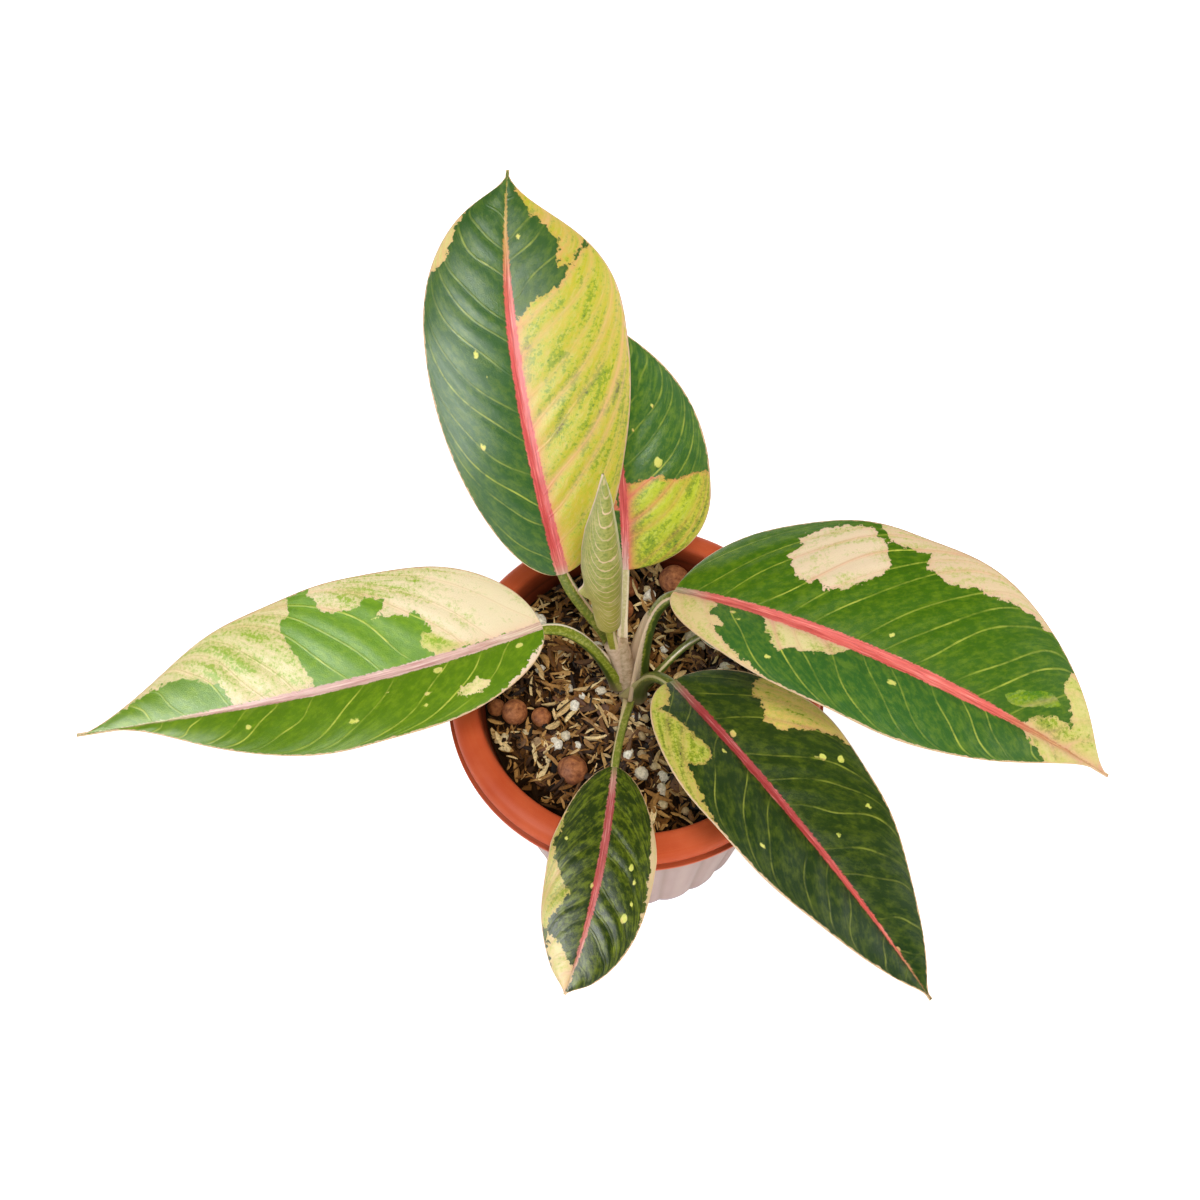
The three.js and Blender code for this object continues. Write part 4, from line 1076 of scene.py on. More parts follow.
def socket_of(azimuth, height, lean):
    """Where a stalk leaves the stem, the way out of the stem, and the way in which it sets out."""
    t = (height - MIX_TOP + STEM_BURIED) / (STEM_LINE[-1][2] - MIX_TOP + STEM_BURIED)
    line, _ = even_curve(STEM_LINE, SOCKET_STEPS + 1)
    turn, tip = math.radians(azimuth), math.radians(lean)
    out = np.array([math.cos(turn), math.sin(turn), 0])
    radius = STEM_RADII[0] + (STEM_RADII[1] - STEM_RADII[0]) * t * t
    away = out * math.sin(tip) + np.array([0, 0, math.cos(tip)])
    return line[round(SOCKET_STEPS * t)] + out * (radius - SOCKET_DEPTH), out, away


def stalk(name, controls, facing, thickness, sheathed, slot, replaced):
    """A stalk: its section is a circle with a shallow channel, and two wings on the sheath."""
    line, direction = even_curve(controls, STALK_ROWS)
    t = np.linspace(0, 1, STALK_ROWS)[:, None]
    angle = np.linspace(0, 2 * np.pi, STALK_SIDES, endpoint=False)[None]
    bent = np.minimum(angle, 2 * np.pi - angle)
    ridge_at = RIDGE_ANGLES.get(name, RIDGE_ANGLE)
    sheath = sheathed * np.clip(1 - t / SHEATH_ENDS.get(name, SHEATH_END), 0, 1)
    ridge = np.exp(-(((bent - ridge_at) / 0.24) ** 2))
    wings = WINGS.get(name, 0.6) * sheath**0.5 * ridge
    channel = (0.1 + 0.4 * sheath) * np.exp(-((bent / 0.7) ** 2))
    slim = 1 - 0.2 * np.clip((t - 0.8) / 0.2, 0, 1)
    girth = thickness * GIRTH.get(name, 1) * (1 + SWELL.get(name, 0.4) * sheath**2) * slim
    radius = girth * (1 + wings - channel)
    rings = sweep(line, direction, facing(t), radius)
    first, second = STALK_TINTS[name][4:]
    broad = 0.3 + 0.5 * np.clip(1 - t / 0.7, 0, 1)
    band = np.exp(-(((bent - ridge_at) / broad) ** 2)) * np.where(angle < np.pi, first, second)
    inside = np.clip((RIDGE_ANGLE + 0.1 - bent) / 0.2, 0, 1) * np.clip((FILLS.get(name, 0) - t) / 0.2, 0, 1)
    band = np.maximum(band, inside)
    fields = {
        "along": with_poles(t + 0 * angle), "ridge": with_poles(band),
        "painted_back_shade": with_poles(np.clip((bent - 1.15) / 0.7, 0, 1) + 0 * t),
    }
    return build("stalk_" + name, *closed_tube(rings), stalk_finish(name), slot, [replaced], fields)


def leaf_stalk(name, leaf):
    """The stalk of an open leaf."""
    start, away, first = socket_of(leaf["azimuth"], leaf["socket"], leaf["lean"])
    along, _, out = (axis[0] for axis in midrib_frame(leaf, np.zeros(1)))
    under = (STALK_SEAT * leaf["stalk"] + STALK_DROP) * out
    end = np.array(leaf["base"]) + STALK_OVERLAP * along - under
    before_end = end - (leaf["reach"][1] + STALK_OVERLAP) * along
    controls = [start, start + leaf["reach"][0] * first, before_end, end]
    return stalk(name, controls, lambda t: -away * (1 - t) + out * t, leaf["stalk"], 1.0, "leaf_flesh",
                 "leaf_" + name)


for leaf_name, open_leaf in LEAVES.items():
    leaf_stalk(leaf_name, open_leaf)

# %% [markdown]
# The stem is ringed by the scars of old leaves, and under the mix it grows thick roots. A dry papery
# sheath stands beside its top, cut off slantwise.

# %% Stem and sheath
SCARS = 9
STEM_WAIST = 0.25
ROOTS = 5
ROOT_LENGTH = 42
ROOT_OFFSET = 0.2
ROOT_FIRST_Z, ROOT_STEP_Z = 4, 2
ROOT_REACH, ROOT_BEND = 0.75, 0.6
ROOT_RADIUS, ROOT_TAPER = 2, 0.5


def stem():
    """The stem and its roots: tubes round their lines, with low rings for the leaf scars."""
    t = np.linspace(0, 1, 70)[:, None]
    line, direction = even_curve(STEM_LINE, len(t))
    scars = 0.08 * np.exp(-((np.sin(np.pi * SCARS * t) / 0.35) ** 2))
    taper = STEM_RADII[0] + (STEM_RADII[1] - STEM_RADII[0]) * t * t
    radius = taper * (1 - STEM_WAIST * np.sin(np.pi * t))
    radius = (radius + scars) * np.ones((1, 36))
    parts = [closed_tube(sweep(line, direction, np.array([[1.0, 0, 0]]), radius))]
    for i in range(ROOTS):
        turn = (i + ROOT_OFFSET) / ROOTS * 2 * math.pi
        out = np.array([math.cos(turn), math.sin(turn), 0])
        start = STEM_LINE[0] + np.array([0, 0, ROOT_FIRST_Z + ROOT_STEP_Z * i])
        drop = ROOT_REACH * ROOT_LENGTH * out - np.array([0, 0, ROOT_BEND * ROOT_LENGTH])
        line, direction = even_curve([start, start + ROOT_BEND * ROOT_LENGTH * out, start + drop], 24)
        radius = ROOT_RADIUS * (1 - ROOT_TAPER * np.linspace(0, 1, 24))[:, None] * np.ones((1, 12))
        parts.append(closed_tube(sweep(line, direction, np.array([[0, 0, 1.0]]), radius)))
    return parts


def merged(parts):
    """Several closed parts as one set of points, quads and triangles."""
    starts = np.cumsum([0] + [len(part[0]) for part in parts[:-1]])
    return (
        np.concatenate([part[0] for part in parts]),
        np.concatenate([part[1] + start for part, start in zip(parts, starts)]),
        np.concatenate([part[2] + start for part, start in zip(parts, starts)]),
    )


def bark_finish(name, low, high, scale, bumps=0.4):
    """Dry fibrous skin: matt, in two tones, with fine bumps. scale is lumps in one metre."""
    material, tree, shader = new_finish(name, 0.75, 1.4)
    place = node(tree, "TexCoord", {}).outputs["Object"]
    lumps = node(tree, "TexNoise", {"Vector": place, "Scale": scale, "Detail": 5.0, "Roughness": 0.65})
    light = node(tree, "MapRange", [lumps, 0.35, 0.65])
    colour = node(tree, "Mix", {0: light, 6: low, 7: high}, data_type="RGBA").outputs[2]
    tree.links.new(colour, shader.inputs["Base Color"])
    bump = node(tree, "Bump", {"Height": lumps, "Strength": 0.5, "Distance": bumps * MM})
    tree.links.new(bump.outputs["Normal"], shader.inputs["Normal"])
    return material


STEM_SKIN = bark_finish("stem_skin", "#9c8462", "#cdb496", 420.0, 0.1)
build("stem_body", *merged(stem()), STEM_SKIN, "stem_flesh", ["stem"])
sheath_t = np.linspace(0, 1, 40)[:, None]
sheath_line, sheath_way = even_curve([(-4.6, 2.0, 130), (-6.2, 3.6, 143), (-8.6, 4.6, 153)], 40)
sheath_angle = np.linspace(0, 2 * np.pi, 36, endpoint=False)[None]
sheath_radius = (3.9 - 0.9 * sheath_t) * (1 + 0.05 * np.sin(3 * sheath_angle))
sheath_rings = sweep(sheath_line, sheath_way, np.array([[1.0, 0, 0]]), sheath_radius)
sheath_rings[..., 2] += 2.2 * sheath_t**4 * np.cos(sheath_angle)
PAPERY = bark_finish("papery_sheath", "#b89a7c", "#d8bea2", 420.0, 0.06)
build("sheath_papery", *closed_tube(sheath_rings), PAPERY, "stem_flesh")

# %% [markdown]
# ## The rolled leaf
# The youngest leaf is still wound round itself. Its sheet is a spiral: the margin on the outside, then
# nearly two turns inward. The margin ends in a small corner low on the left. The veins show on the
# roll as hooked arcs, closer together towards the foot.

# %% Rolled leaf
ROLL_BASE, ROLL_TIP = np.array((-9.4, 4.3, 171.5)), np.array((-9.2, 2.6, 277.0))
ROLL_LEFT = [(0, 4.8), (5, 5.4), (21, 6.4), (30, 8.2), (42, 9.0), (55, 8.4), (68, 6.8), (86, 2.9), (100, 0.4)]
ROLL_RIGHT = [(0, 4.8), (5, 5.1), (21, 5.5), (42, 6.1), (66, 4.6), (86, 2.8), (100, 0.4)]
ROLL_TURNS = 1.8
ROLL_THICKNESS = 0.7
ROLL_SOCKET = (215, 147, 12)
ROLL_REACH, ROLL_OVERLAP, ROLL_STALK = 8.0, 5.0, 1.9
CORNER_PLACE, CORNER_REACH = 0.25, 3.4
ARC_CLOSENESS, ARC_WIDENING = 18.0, 50.0


def rolled_finish():
    """A young leaf's waxy back: pale olive with fine cells, pinkish arcs, a cream margin and a painted
    highlight down its right side.
    """
    material, tree, shader = new_finish("young_waxy_leaf", 0.42, 1.45, Subsurface_Weight=0.08)
    shader.inputs["Subsurface Radius"].default_value = (0.8, 1.0, 0.3)
    shader.inputs["Subsurface Scale"].default_value = 0.0012
    arc, margin, painted_highlight, low = (
        node(tree, "Attribute", {}, attribute_name=name).outputs["Fac"]
        for name in ("arc", "margin", "painted_highlight", "low")
    )
    place = node(tree, "TexCoord", {}).outputs["Object"]
    cells = node(tree, "TexNoise", {"Vector": place, "Scale": 800.0, "Detail": 4.0, "Roughness": 0.7})
    clouds = node(tree, "TexNoise", {"Vector": place, "Scale": 160.0, "Detail": 3.0})
    light = node(tree, "MapRange", [cells, 0.36, 0.62])
    colour = node(tree, "Mix", {0: light, 6: "#7c8a34", 7: "#aaa652"}, data_type="RGBA").outputs[2]
    colour = node(tree, "Mix", {0: low, 6: colour, 7: "#a89c3c"}, data_type="RGBA").outputs[2]
    cloudy = node(tree, "MapRange", [clouds, 0.52, 0.72, 0, 0.55])
    colour = node(tree, "Mix", {0: cloudy, 6: colour, 7: "#d0c488"}, data_type="RGBA").outputs[2]
    # Painted highlight: a pale stripe down the roll's right side.
    colour = node(tree, "Mix", {0: painted_highlight, 6: colour, 7: "#d0c69a"}, data_type="RGBA").outputs[2]
    bent = node(tree, "Math", [clouds, 1.1, arc], operation="MULTIPLY_ADD")
    number = node(tree, "Math", [bent], operation="FLOOR")
    strength = node(tree, "TexWhiteNoise", {"W": number}, noise_dimensions="1D")
    away = node(tree, "Math", [bent], operation="FRACT")
    away = node(tree, "Math", [away, 0.5], operation="SUBTRACT")
    away = node(tree, "Math", [away], operation="ABSOLUTE")
    clouded = node(tree, "MapRange", [clouds, 0.3, 0.46, 0.3, 1])
    each_arc = node(tree, "MapRange", [strength, 0, 1, 0.5, 1])
    broken = node(tree, "Math", [clouded, each_arc], operation="MULTIPLY")
    line = node(tree, "MapRange", [away, 0.1, 0.05, 0, 0.9])
    line = node(tree, "Math", [line, broken], operation="MULTIPLY")
    colour = node(tree, "Mix", {0: line, 6: colour, 7: "#e8c6a2"}, data_type="RGBA").outputs[2]
    bordered = node(tree, "MapRange", [margin, 1.0, 0.6])
    colour = node(tree, "Mix", {0: bordered, 6: colour, 7: "#e8cdb0"}, data_type="RGBA").outputs[2]
    tree.links.new(colour, shader.inputs["Base Color"])
    bump = node(tree, "Bump", {"Height": line, "Strength": 0.4, "Distance": 0.0003})
    tree.links.new(bump.outputs["Normal"], shader.inputs["Normal"])
    return material


def rolled_leaf():
    """A spiral sheet: radius falls evenly with the angle from the outer margin, within the left and
    right reach that the stops give at each height."""
    rows, columns = 150, 130
    height = np.linspace(0, 1, rows)
    t = height[:, None]
    turn = np.linspace(0, 1, columns)[None] * ROLL_TURNS * 2 * np.pi
    left, right = stops(ROLL_LEFT, height), stops(ROLL_RIGHT, height)
    corner = CORNER_REACH * np.exp(-(((t - CORNER_PLACE) / 0.035) ** 2)) * np.exp(-((turn / 0.35) ** 2))
    outer = (left + right) / 2 * (1 - 0.12 * turn / (2 * np.pi)) + corner
    inner = outer - np.minimum(ROLL_THICKNESS, 0.5 * outer)
    axis = ROLL_BASE + t[..., None] * (ROLL_TIP - ROLL_BASE) - ((left - right) / 2)[..., None] * [1.0, 0, 0]
    spoke = np.stack([-np.cos(turn), -np.sin(turn), 0 * turn], -1)
    sheets = [axis + radius[..., None] * spoke for radius in (outer, inner)]
    faces = closed_sheet(rows, columns)
    length = np.linalg.norm(ROLL_TIP - ROLL_BASE)
    hook = np.where(turn < 1.76, 13.0, 2.1) * (turn - 1.76) ** 2
    level = np.maximum(t * length - hook, -0.8 * ARC_WIDENING)
    fields = {
        "arc": ARC_CLOSENESS * np.log(1 + level / ARC_WIDENING) + 40,
        "margin": turn * outer + 0 * t,
        # The painted highlight's stripe, at one turn of the outer sheet.
        "painted_highlight": 0.7 * np.exp(-(((turn - 2.85) / 0.2) ** 2)) + 0 * t,
        "low": 0.7 * np.clip((0.42 - t) / 0.25, 0, 1) + 0 * turn,
    }
    fields = {key: np.tile(value.ravel(), 2) for key, value in fields.items()}
    points = np.concatenate([sheet.reshape(-1, 3) for sheet in sheets])
    return points, faces, NO_TRIANGLES, fields


YOUNG_LEAF = rolled_finish()
*roll_mesh, roll_fields = rolled_leaf()
build("rolled_leaf", *roll_mesh, YOUNG_LEAF, "young_leaf_flesh", ["leaf_new_rolled"], roll_fields)
roll_start, _, roll_first = socket_of(*ROLL_SOCKET)
roll_end = ROLL_BASE + np.array([0, 0, ROLL_OVERLAP])
roll_below = roll_end - np.array([0, 0, ROLL_REACH])
roll_path = [roll_start, roll_start + ROLL_REACH * roll_first, roll_below, roll_end]
stalk("young", roll_path, lambda t: np.array([[0, -1.0, 0]]) + 0 * t, ROLL_STALK, 0.0, "young_leaf_flesh",
      "leaf_new_rolled")

# %% [markdown]
# ## The pots
# The inner pot is terracotta-coloured polypropylene with a broad rolled rim. It hangs by that rim in a
# thin, frosted, fluted outer pot. Both are turned profiles. The corners of the profile are rounded by
# cutting them, and cutting the cuts again.

# %% Turned shapes
RIM_OUTER, RIM_INNER, RIM_DEPTH, WALL = 75.0, 63.0, 11.0, 1.7
OUTER_BASE, OUTER_TOP, FLUTES, FLUTE_DEPTH = 51.0, 69.6, 22, 1.1
INNER_BASE_Z, INNER_BASE = 6.0, 46.0
DRAIN_HOLES, DRAIN_RING, DRAIN_RADIUS = 6, 27.0, 4.0
GAP = 0.3
RIM_STEP, RIM_BLEND, RIM_UNDERSIDE = 0.5, 4, 3.6


def rounded(profile, rounds):
    """A profile with its corners cut at a quarter of each side, again and again. Ends stay."""
    points = np.array(profile, float)
    for _ in range(rounds):
        near = 0.75 * points[:-1] + 0.25 * points[1:]
        far = 0.25 * points[:-1] + 0.75 * points[1:]
        points = np.concatenate([points[:1], np.stack([near, far], 1).reshape(-1, 2), points[-1:]])
    return points


def turned(profile, sides, flute=None):
    """A profile of radius and height turned about the axis, from its lower pole to its inner pole."""
    angle = np.linspace(0, 2 * np.pi, sides, endpoint=False)[None]
    radius, height = profile[1:-1, :1], profile[1:-1, 1:]
    radius = radius * np.ones_like(angle) if flute is None else flute(radius, height, angle)
    rings = np.stack([radius * np.cos(angle), radius * np.sin(angle), height + 0 * angle], -1)
    points, quads, triangles = closed_tube(rings)
    points[-2] = (0, 0, profile[0, 1])
    points[-1] = (0, 0, profile[-1, 1])
    return points, quads, triangles


def inner_wall(z):
    """Radius of the inner pot's inner wall at a height."""
    floor = INNER_BASE_Z + WALL
    rise = (RIM_INNER - RIM_STEP - INNER_BASE + WALL) * (z - floor)
    return INNER_BASE - WALL + rise / (POT_HEIGHT - RIM_BLEND - floor)


print("inner wall at the mix:", round(inner_wall(MIX_TOP), 1), "mm")

# %% [markdown]
# Moulded polypropylene has a soft gloss, a faint ripple from the mould and hairline scuffs that run
# round the rim. The IOR of polypropylene is about 1.49. The red pot has painted shade inside, above
# the mix, and in the groove under its rim. The frosted wall has painted shade, darker and redder, in
# its flutes, and a painted highlight on their crests.


# %% Plastic finishes
def terracotta_finish():
    """Moulded polypropylene, dyed right through in terracotta red, with painted shade inside the pot and in
    the groove under the rim.
    """
    material, tree, shader = new_finish("terracotta_polypropylene", 0.36, 1.49, Specular_IOR_Level=0.05)
    place = node(tree, "TexCoord", {}).outputs["Object"]
    apart = node(tree, "SeparateXYZ", {"Vector": place})
    flat = node(tree, "CombineXYZ", {"X": apart.outputs["X"], "Y": apart.outputs["Y"]})
    radius = node(tree, "VectorMath", {0: flat}, operation="LENGTH").outputs["Value"]
    clouds = node(tree, "TexNoise", {"Vector": place, "Scale": 45.0, "Detail": 4.0})
    rings = node(tree, "Math", [radius, 4200.0], operation="MULTIPLY")
    streak_inputs = {"W": rings, "Vector": place, "Scale": 9.0, "Detail": 3.0}
    streak = node(tree, "TexNoise", streak_inputs, noise_dimensions="4D")
    warm = node(tree, "MapRange", [clouds, 0.35, 0.65])
    colour = node(tree, "Mix", {0: warm, 6: "#b84a28", 7: "#c75b37"}, data_type="RGBA").outputs[2]
    height = apart.outputs["Z"]
    # Painted shade: a dark band in the groove between the rim's bulge and its lip.
    over_lip = node(tree, "MapRange", [height, 0.1182, 0.1188])
    under_bulge = node(tree, "MapRange", [height, 0.1204, 0.1198])
    painted_groove_shade = node(tree, "Math", [over_lip, under_bulge], operation="MULTIPLY")
    shade = node(tree, "Math", [painted_groove_shade, 0.6], operation="MULTIPLY")
    colour = node(tree, "Mix", {0: shade, 6: colour, 7: "#6e2c1a"}, data_type="RGBA").outputs[2]
    scuffed = node(tree, "MapRange", [streak, 0.58, 0.72, 0, 0.4])
    colour = node(tree, "Mix", {0: scuffed, 6: colour, 7: "#d98660"}, data_type="RGBA").outputs[2]
    # Painted shade: the inner wall above the mix is darkened to dark brown.
    inside = node(tree, "MapRange", [radius, 0.0635, 0.062, 0, 0.75])
    colour = node(tree, "Mix", {0: inside, 6: colour, 7: "#4a2014"}, data_type="RGBA").outputs[2]
    tree.links.new(colour, shader.inputs["Base Color"])
    rough = node(tree, "MapRange", [streak, 0.35, 0.7, 0.34, 0.48])
    tree.links.new(rough.outputs[0], shader.inputs["Roughness"])
    bump = node(tree, "Bump", {"Height": streak, "Strength": 0.08, "Distance": 0.0002})
    tree.links.new(bump.outputs["Normal"], shader.inputs["Normal"])
    return material


def frosted_finish():
    """Thin milky polypropylene: the red pot inside shows through as a dusty pink cast."""
    material, tree, shader = new_finish("frosted_polypropylene", 0.45, 1.49, Subsurface_Weight=0.15,
                                         Specular_IOR_Level=0.2)
    shader.inputs["Subsurface Radius"].default_value = (1.0, 0.7, 0.6)
    shader.inputs["Subsurface Scale"].default_value = 0.0015
    place = node(tree, "TexCoord", {}).outputs["Object"]
    long = node(tree, "Mapping", {"Vector": place, "Scale": (1.0, 1.0, 0.12)})
    streaks = node(tree, "TexNoise", {"Vector": long, "Scale": 110.0, "Detail": 4.0})
    apart = node(tree, "SeparateXYZ", {"Vector": place})
    around = node(tree, "Math", [apart.outputs["Y"], apart.outputs["X"]], operation="ARCTAN2")
    wave = node(tree, "Math", [around, FLUTES / 2], operation="MULTIPLY")
    wave = node(tree, "Math", [wave], operation="SINE")
    crest = node(tree, "Math", [wave], operation="ABSOLUTE")
    streaked = node(tree, "MapRange", [streaks, 0.35, 0.65])
    colour = node(tree, "Mix", {0: streaked, 6: "#95736a", 7: "#9f8077"}, data_type="RGBA").outputs[2]
    # Painted shade darkens the flutes, and a painted highlight lightens their crests.
    painted_flute_shade = node(tree, "MapRange", [crest, 0.42, 0.0, 0, 0.6])
    colour = node(tree, "Mix", {0: painted_flute_shade, 6: colour, 7: "#7b5848"}, data_type="RGBA").outputs[2]
    painted_crest_highlight = node(tree, "MapRange", [crest, 0.8, 1.0, 0, 0.3])
    colour = node(tree, "Mix", {0: painted_crest_highlight, 6: colour, 7: "#b3988e"}, data_type="RGBA").outputs[2]
    footed = node(tree, "MapRange", [apart.outputs["Z"], 0.006, 0.0, 0, 0.8])
    colour = node(tree, "Mix", {0: footed, 6: colour, 7: "#9c9aac"}, data_type="RGBA").outputs[2]
    tree.links.new(colour, shader.inputs["Base Color"])
    grit = node(tree, "TexNoise", {"Vector": place, "Scale": 1500.0, "Detail": 1.0})
    bump = node(tree, "Bump", {"Height": grit, "Strength": 0.1, "Distance": 0.0001})
    tree.links.new(bump.outputs["Normal"], shader.inputs["Normal"])
    return material


TERRACOTTA, FROSTED = terracotta_finish(), frosted_finish()
print("plastics ready")

# %% [markdown]
# The rim bulges upward, falls away to a side with a shallow groove and ends in a thin lip that stands
# over the outer pot. The drain holes in the inner pot's floor are cut with one boolean, which is
# applied at once.

# %% Pots
FLOOR_Z = INNER_BASE_Z + WALL
INNER_PROFILE = [
    (0, INNER_BASE_Z), (INNER_BASE - 2, INNER_BASE_Z), (INNER_BASE, INNER_BASE_Z + 2),
    (RIM_INNER + 1.2, POT_HEIGHT - RIM_UNDERSIDE), (RIM_OUTER - 3.6, POT_HEIGHT - RIM_UNDERSIDE),
    (RIM_OUTER - 2, POT_HEIGHT - 6), (RIM_OUTER - 1.6, POT_HEIGHT - RIM_DEPTH),
    (RIM_OUTER - 0.1, POT_HEIGHT - RIM_DEPTH), (RIM_OUTER, POT_HEIGHT - RIM_DEPTH + 0.2),
    (RIM_OUTER, POT_HEIGHT - RIM_DEPTH + 1.4), (RIM_OUTER - 0.1, POT_HEIGHT - RIM_DEPTH + 1.6),
    (RIM_OUTER - 1.5, POT_HEIGHT - RIM_DEPTH + 1.9), (RIM_OUTER - 1.7, POT_HEIGHT - RIM_DEPTH + 2.4),
    (RIM_OUTER - 1.4, POT_HEIGHT - RIM_DEPTH + 3.1), (RIM_OUTER - 1.5, POT_HEIGHT - 6.0),
    (RIM_OUTER - 2.4, POT_HEIGHT - 3.4), (RIM_OUTER - 4.6, POT_HEIGHT - 1.2),
    (RIM_INNER + 4, POT_HEIGHT), (RIM_INNER + 1.2, POT_HEIGHT - 0.3), (RIM_INNER, POT_HEIGHT - 1.6),
    (inner_wall(POT_HEIGHT - RIM_BLEND), POT_HEIGHT - RIM_BLEND), (inner_wall(FLOOR_Z), FLOOR_Z),
    (0, FLOOR_Z),
]
inner_pot = build("pot_inner", *turned(rounded(INNER_PROFILE, 2), 180), TERRACOTTA, "terracotta_plastic",
                  ["inner_pot"])


def drain(pot):
    """Cuts the round drain holes through the pot's floor with one boolean, applied at once."""
    turn = np.linspace(0, 2 * np.pi, 32, endpoint=False)
    drills = []
    for hole in range(DRAIN_HOLES):
        way = (hole + 0.5) / DRAIN_HOLES * 2 * math.pi
        circle = DRAIN_RADIUS * np.stack([np.cos(turn), np.sin(turn), 0 * turn], -1)
        middle = np.array([DRAIN_RING * math.cos(way), DRAIN_RING * math.sin(way), 0])
        ends = [circle + middle + (0, 0, z) for z in (INNER_BASE_Z - 2, FLOOR_Z + 2)]
        drills.append(closed_tube(np.stack(ends)))
    points, quads, triangles = merged(drills)
    drill_mesh = bpy.data.meshes.new("drain_drills")
    drill_mesh.from_pydata((points * MM).tolist(), [], quads.tolist() + triangles.tolist())
    drill = bpy.data.objects.new("drain_drills", drill_mesh)
    cut = pot.modifiers.new("drain", "BOOLEAN")
    cut.object = drill
    bored = bpy.data.meshes.new_from_object(pot.evaluated_get(bpy.context.evaluated_depsgraph_get()))
    bored.set_sharp_from_angle(angle=math.radians(60))
    pot.modifiers.clear()
    pot.data = bored
    bpy.data.objects.remove(drill)
    print("inner pot with its drain holes:", len(bored.polygons), "faces")


drain(inner_pot)

OUTER_WALL_TOP = POT_HEIGHT - RIM_UNDERSIDE - GAP
WALL_INSIDE = FLUTE_DEPTH + WALL
OUTER_PROFILE = [
    (0, 0), (14, 0), (14, 1.2), (OUTER_BASE - 6, 1.2), (OUTER_BASE - 6, 0), (OUTER_BASE, 0),
    (OUTER_BASE + 0.4, 3), (OUTER_BASE + 9, OUTER_WALL_TOP / 2), (OUTER_TOP - 2, OUTER_WALL_TOP - 13),
    (OUTER_TOP, OUTER_WALL_TOP), (OUTER_TOP - WALL_INSIDE, OUTER_WALL_TOP),
    (OUTER_BASE - WALL_INSIDE, WALL + 1.2), (0, WALL + 1.2),
]


def flute(radius, height, angle):
    """Grooves down the wall: the radius dips FLUTES times round, on the outer face only."""
    wall = OUTER_BASE + (OUTER_TOP - OUTER_BASE) * height / OUTER_WALL_TOP
    outside = np.clip(1 - np.abs(radius - wall) / 1.5, 0, 1) ** 0.3
    outside = outside * np.clip((OUTER_WALL_TOP - 8 - height) / 6, 0, 1)
    return radius - FLUTE_DEPTH * outside * (1 - np.abs(np.sin(FLUTES / 2 * angle))) ** 1.5


build("pot_outer", *turned(rounded(OUTER_PROFILE, 3), 12 * FLUTES, flute), FROSTED,
      "frosted_plastic", ["outer_pot"])

# %% [markdown]
# ## The potting mix
# The mix is loose: split hulls and bark slivers with dark gaps between them, white perlite, pale grit
# and fired clay balls. A dark body fills the pot, and thousands of hulls lie on it; its near-black is
# partly the mix's own dark brown and partly painted shade for the deep gaps. One hull is a bent,
# boat-shaped shell of eighteen faces, and all of them are worked out in one array.

# %% Mix finishes
MIX_RADIUS = inner_wall(MIX_TOP) - GAP


def toned_finish(name, tones, roughness):
    """Plant litter or stone in many tones: each piece has its own tone number from 0 to 1."""
    material, tree, shader = new_finish(name, roughness, 1.4)
    tone = node(tree, "Attribute", {}, attribute_name="tone").outputs["Fac"]
    ramp = node(tree, "ValToRGB", {"Fac": tone})
    for _ in tones[2:]:
        ramp.color_ramp.elements.new(0.5)
    for element, (position, code) in zip(ramp.color_ramp.elements, tones):
        element.position = position
        element.color = linear(code)
    place = node(tree, "TexCoord", {}).outputs["Object"]
    fibre = node(tree, "TexNoise", {"Vector": place, "Scale": 1100.0, "Detail": 4.0, "Roughness": 0.7})
    shade = node(tree, "MapRange", [fibre, 0.3, 0.7, 0.55, 1.2], clamp=False)
    colour = node(tree, "VectorMath", {0: ramp, "Scale": shade}, operation="SCALE")
    tree.links.new(colour.outputs[0], shader.inputs["Base Color"])
    bump = node(tree, "Bump", {"Height": fibre, "Strength": 0.6, "Distance": 0.0003})
    tree.links.new(bump.outputs["Normal"], shader.inputs["Normal"])
    return material


HULL_LITTER = toned_finish("hull_and_bark_litter", [(0.0, "#0e0704"), (0.24, "#42260f"), (0.44, "#835526"),
                                                    (0.67, "#c09052"), (1.0, "#f2d49c")], 0.8)
PERLITE = toned_finish("perlite", [(0.0, "#cbb99c"), (0.5, "#e8dbc4"), (1.0, "#fbf3e4")], 0.9)
GRIT = toned_finish("grit_and_bark", [(0.0, "#33241a"), (0.35, "#7a5036"), (0.7, "#b8976c"),
                                      (1.0, "#dcc79c")], 0.75)
FIRED_CLAY = bark_finish("fired_clay", "#7c4224", "#ba7445", 520.0)
print("mix finishes ready")

# %% [markdown]
# The body of the mix is turned like the pot, and its top is raised by noise into a rough ground.

# %% Mix body
FLOOR_OF_MIX = FLOOR_Z + GAP


def ground(places):
    """Height of the rough ground over the level top of the mix, in mm."""
    flat = np.column_stack([places[:, 0], places[:, 1], np.zeros(len(places))])
    return 1.9 * lattice_noise(flat, 10, 3) + 0.8 * lattice_noise(flat, 4, 4) - 1.0


steps = np.linspace(1, 0, 60)[:, None]
mix_profile = np.concatenate([
    [(0, FLOOR_OF_MIX), (inner_wall(FLOOR_OF_MIX) - GAP, FLOOR_OF_MIX), (MIX_RADIUS, MIX_TOP)],
    np.column_stack([MIX_RADIUS * steps[1:], np.full(59, MIX_TOP)]),
])
mix_points, mix_quads, mix_triangles = turned(mix_profile, 150)
on_top = (mix_points[:, 2] > MIX_TOP - 0.01) & (np.hypot(*mix_points[:, :2].T) < MIX_RADIUS - 0.5)
mix_points[:, 2] += on_top * (ground(mix_points) - 0.5)
# Painted shade: the body's tone stays near black, for the deep gaps between the hulls.
tone = np.clip(0.05 + 0.06 * lattice_noise(mix_points, 2, 5), 0, 1)
build("mix_body", mix_points, mix_quads, mix_triangles, HULL_LITTER, "potting_mix", ["potting_mix"],
      {"tone": tone})
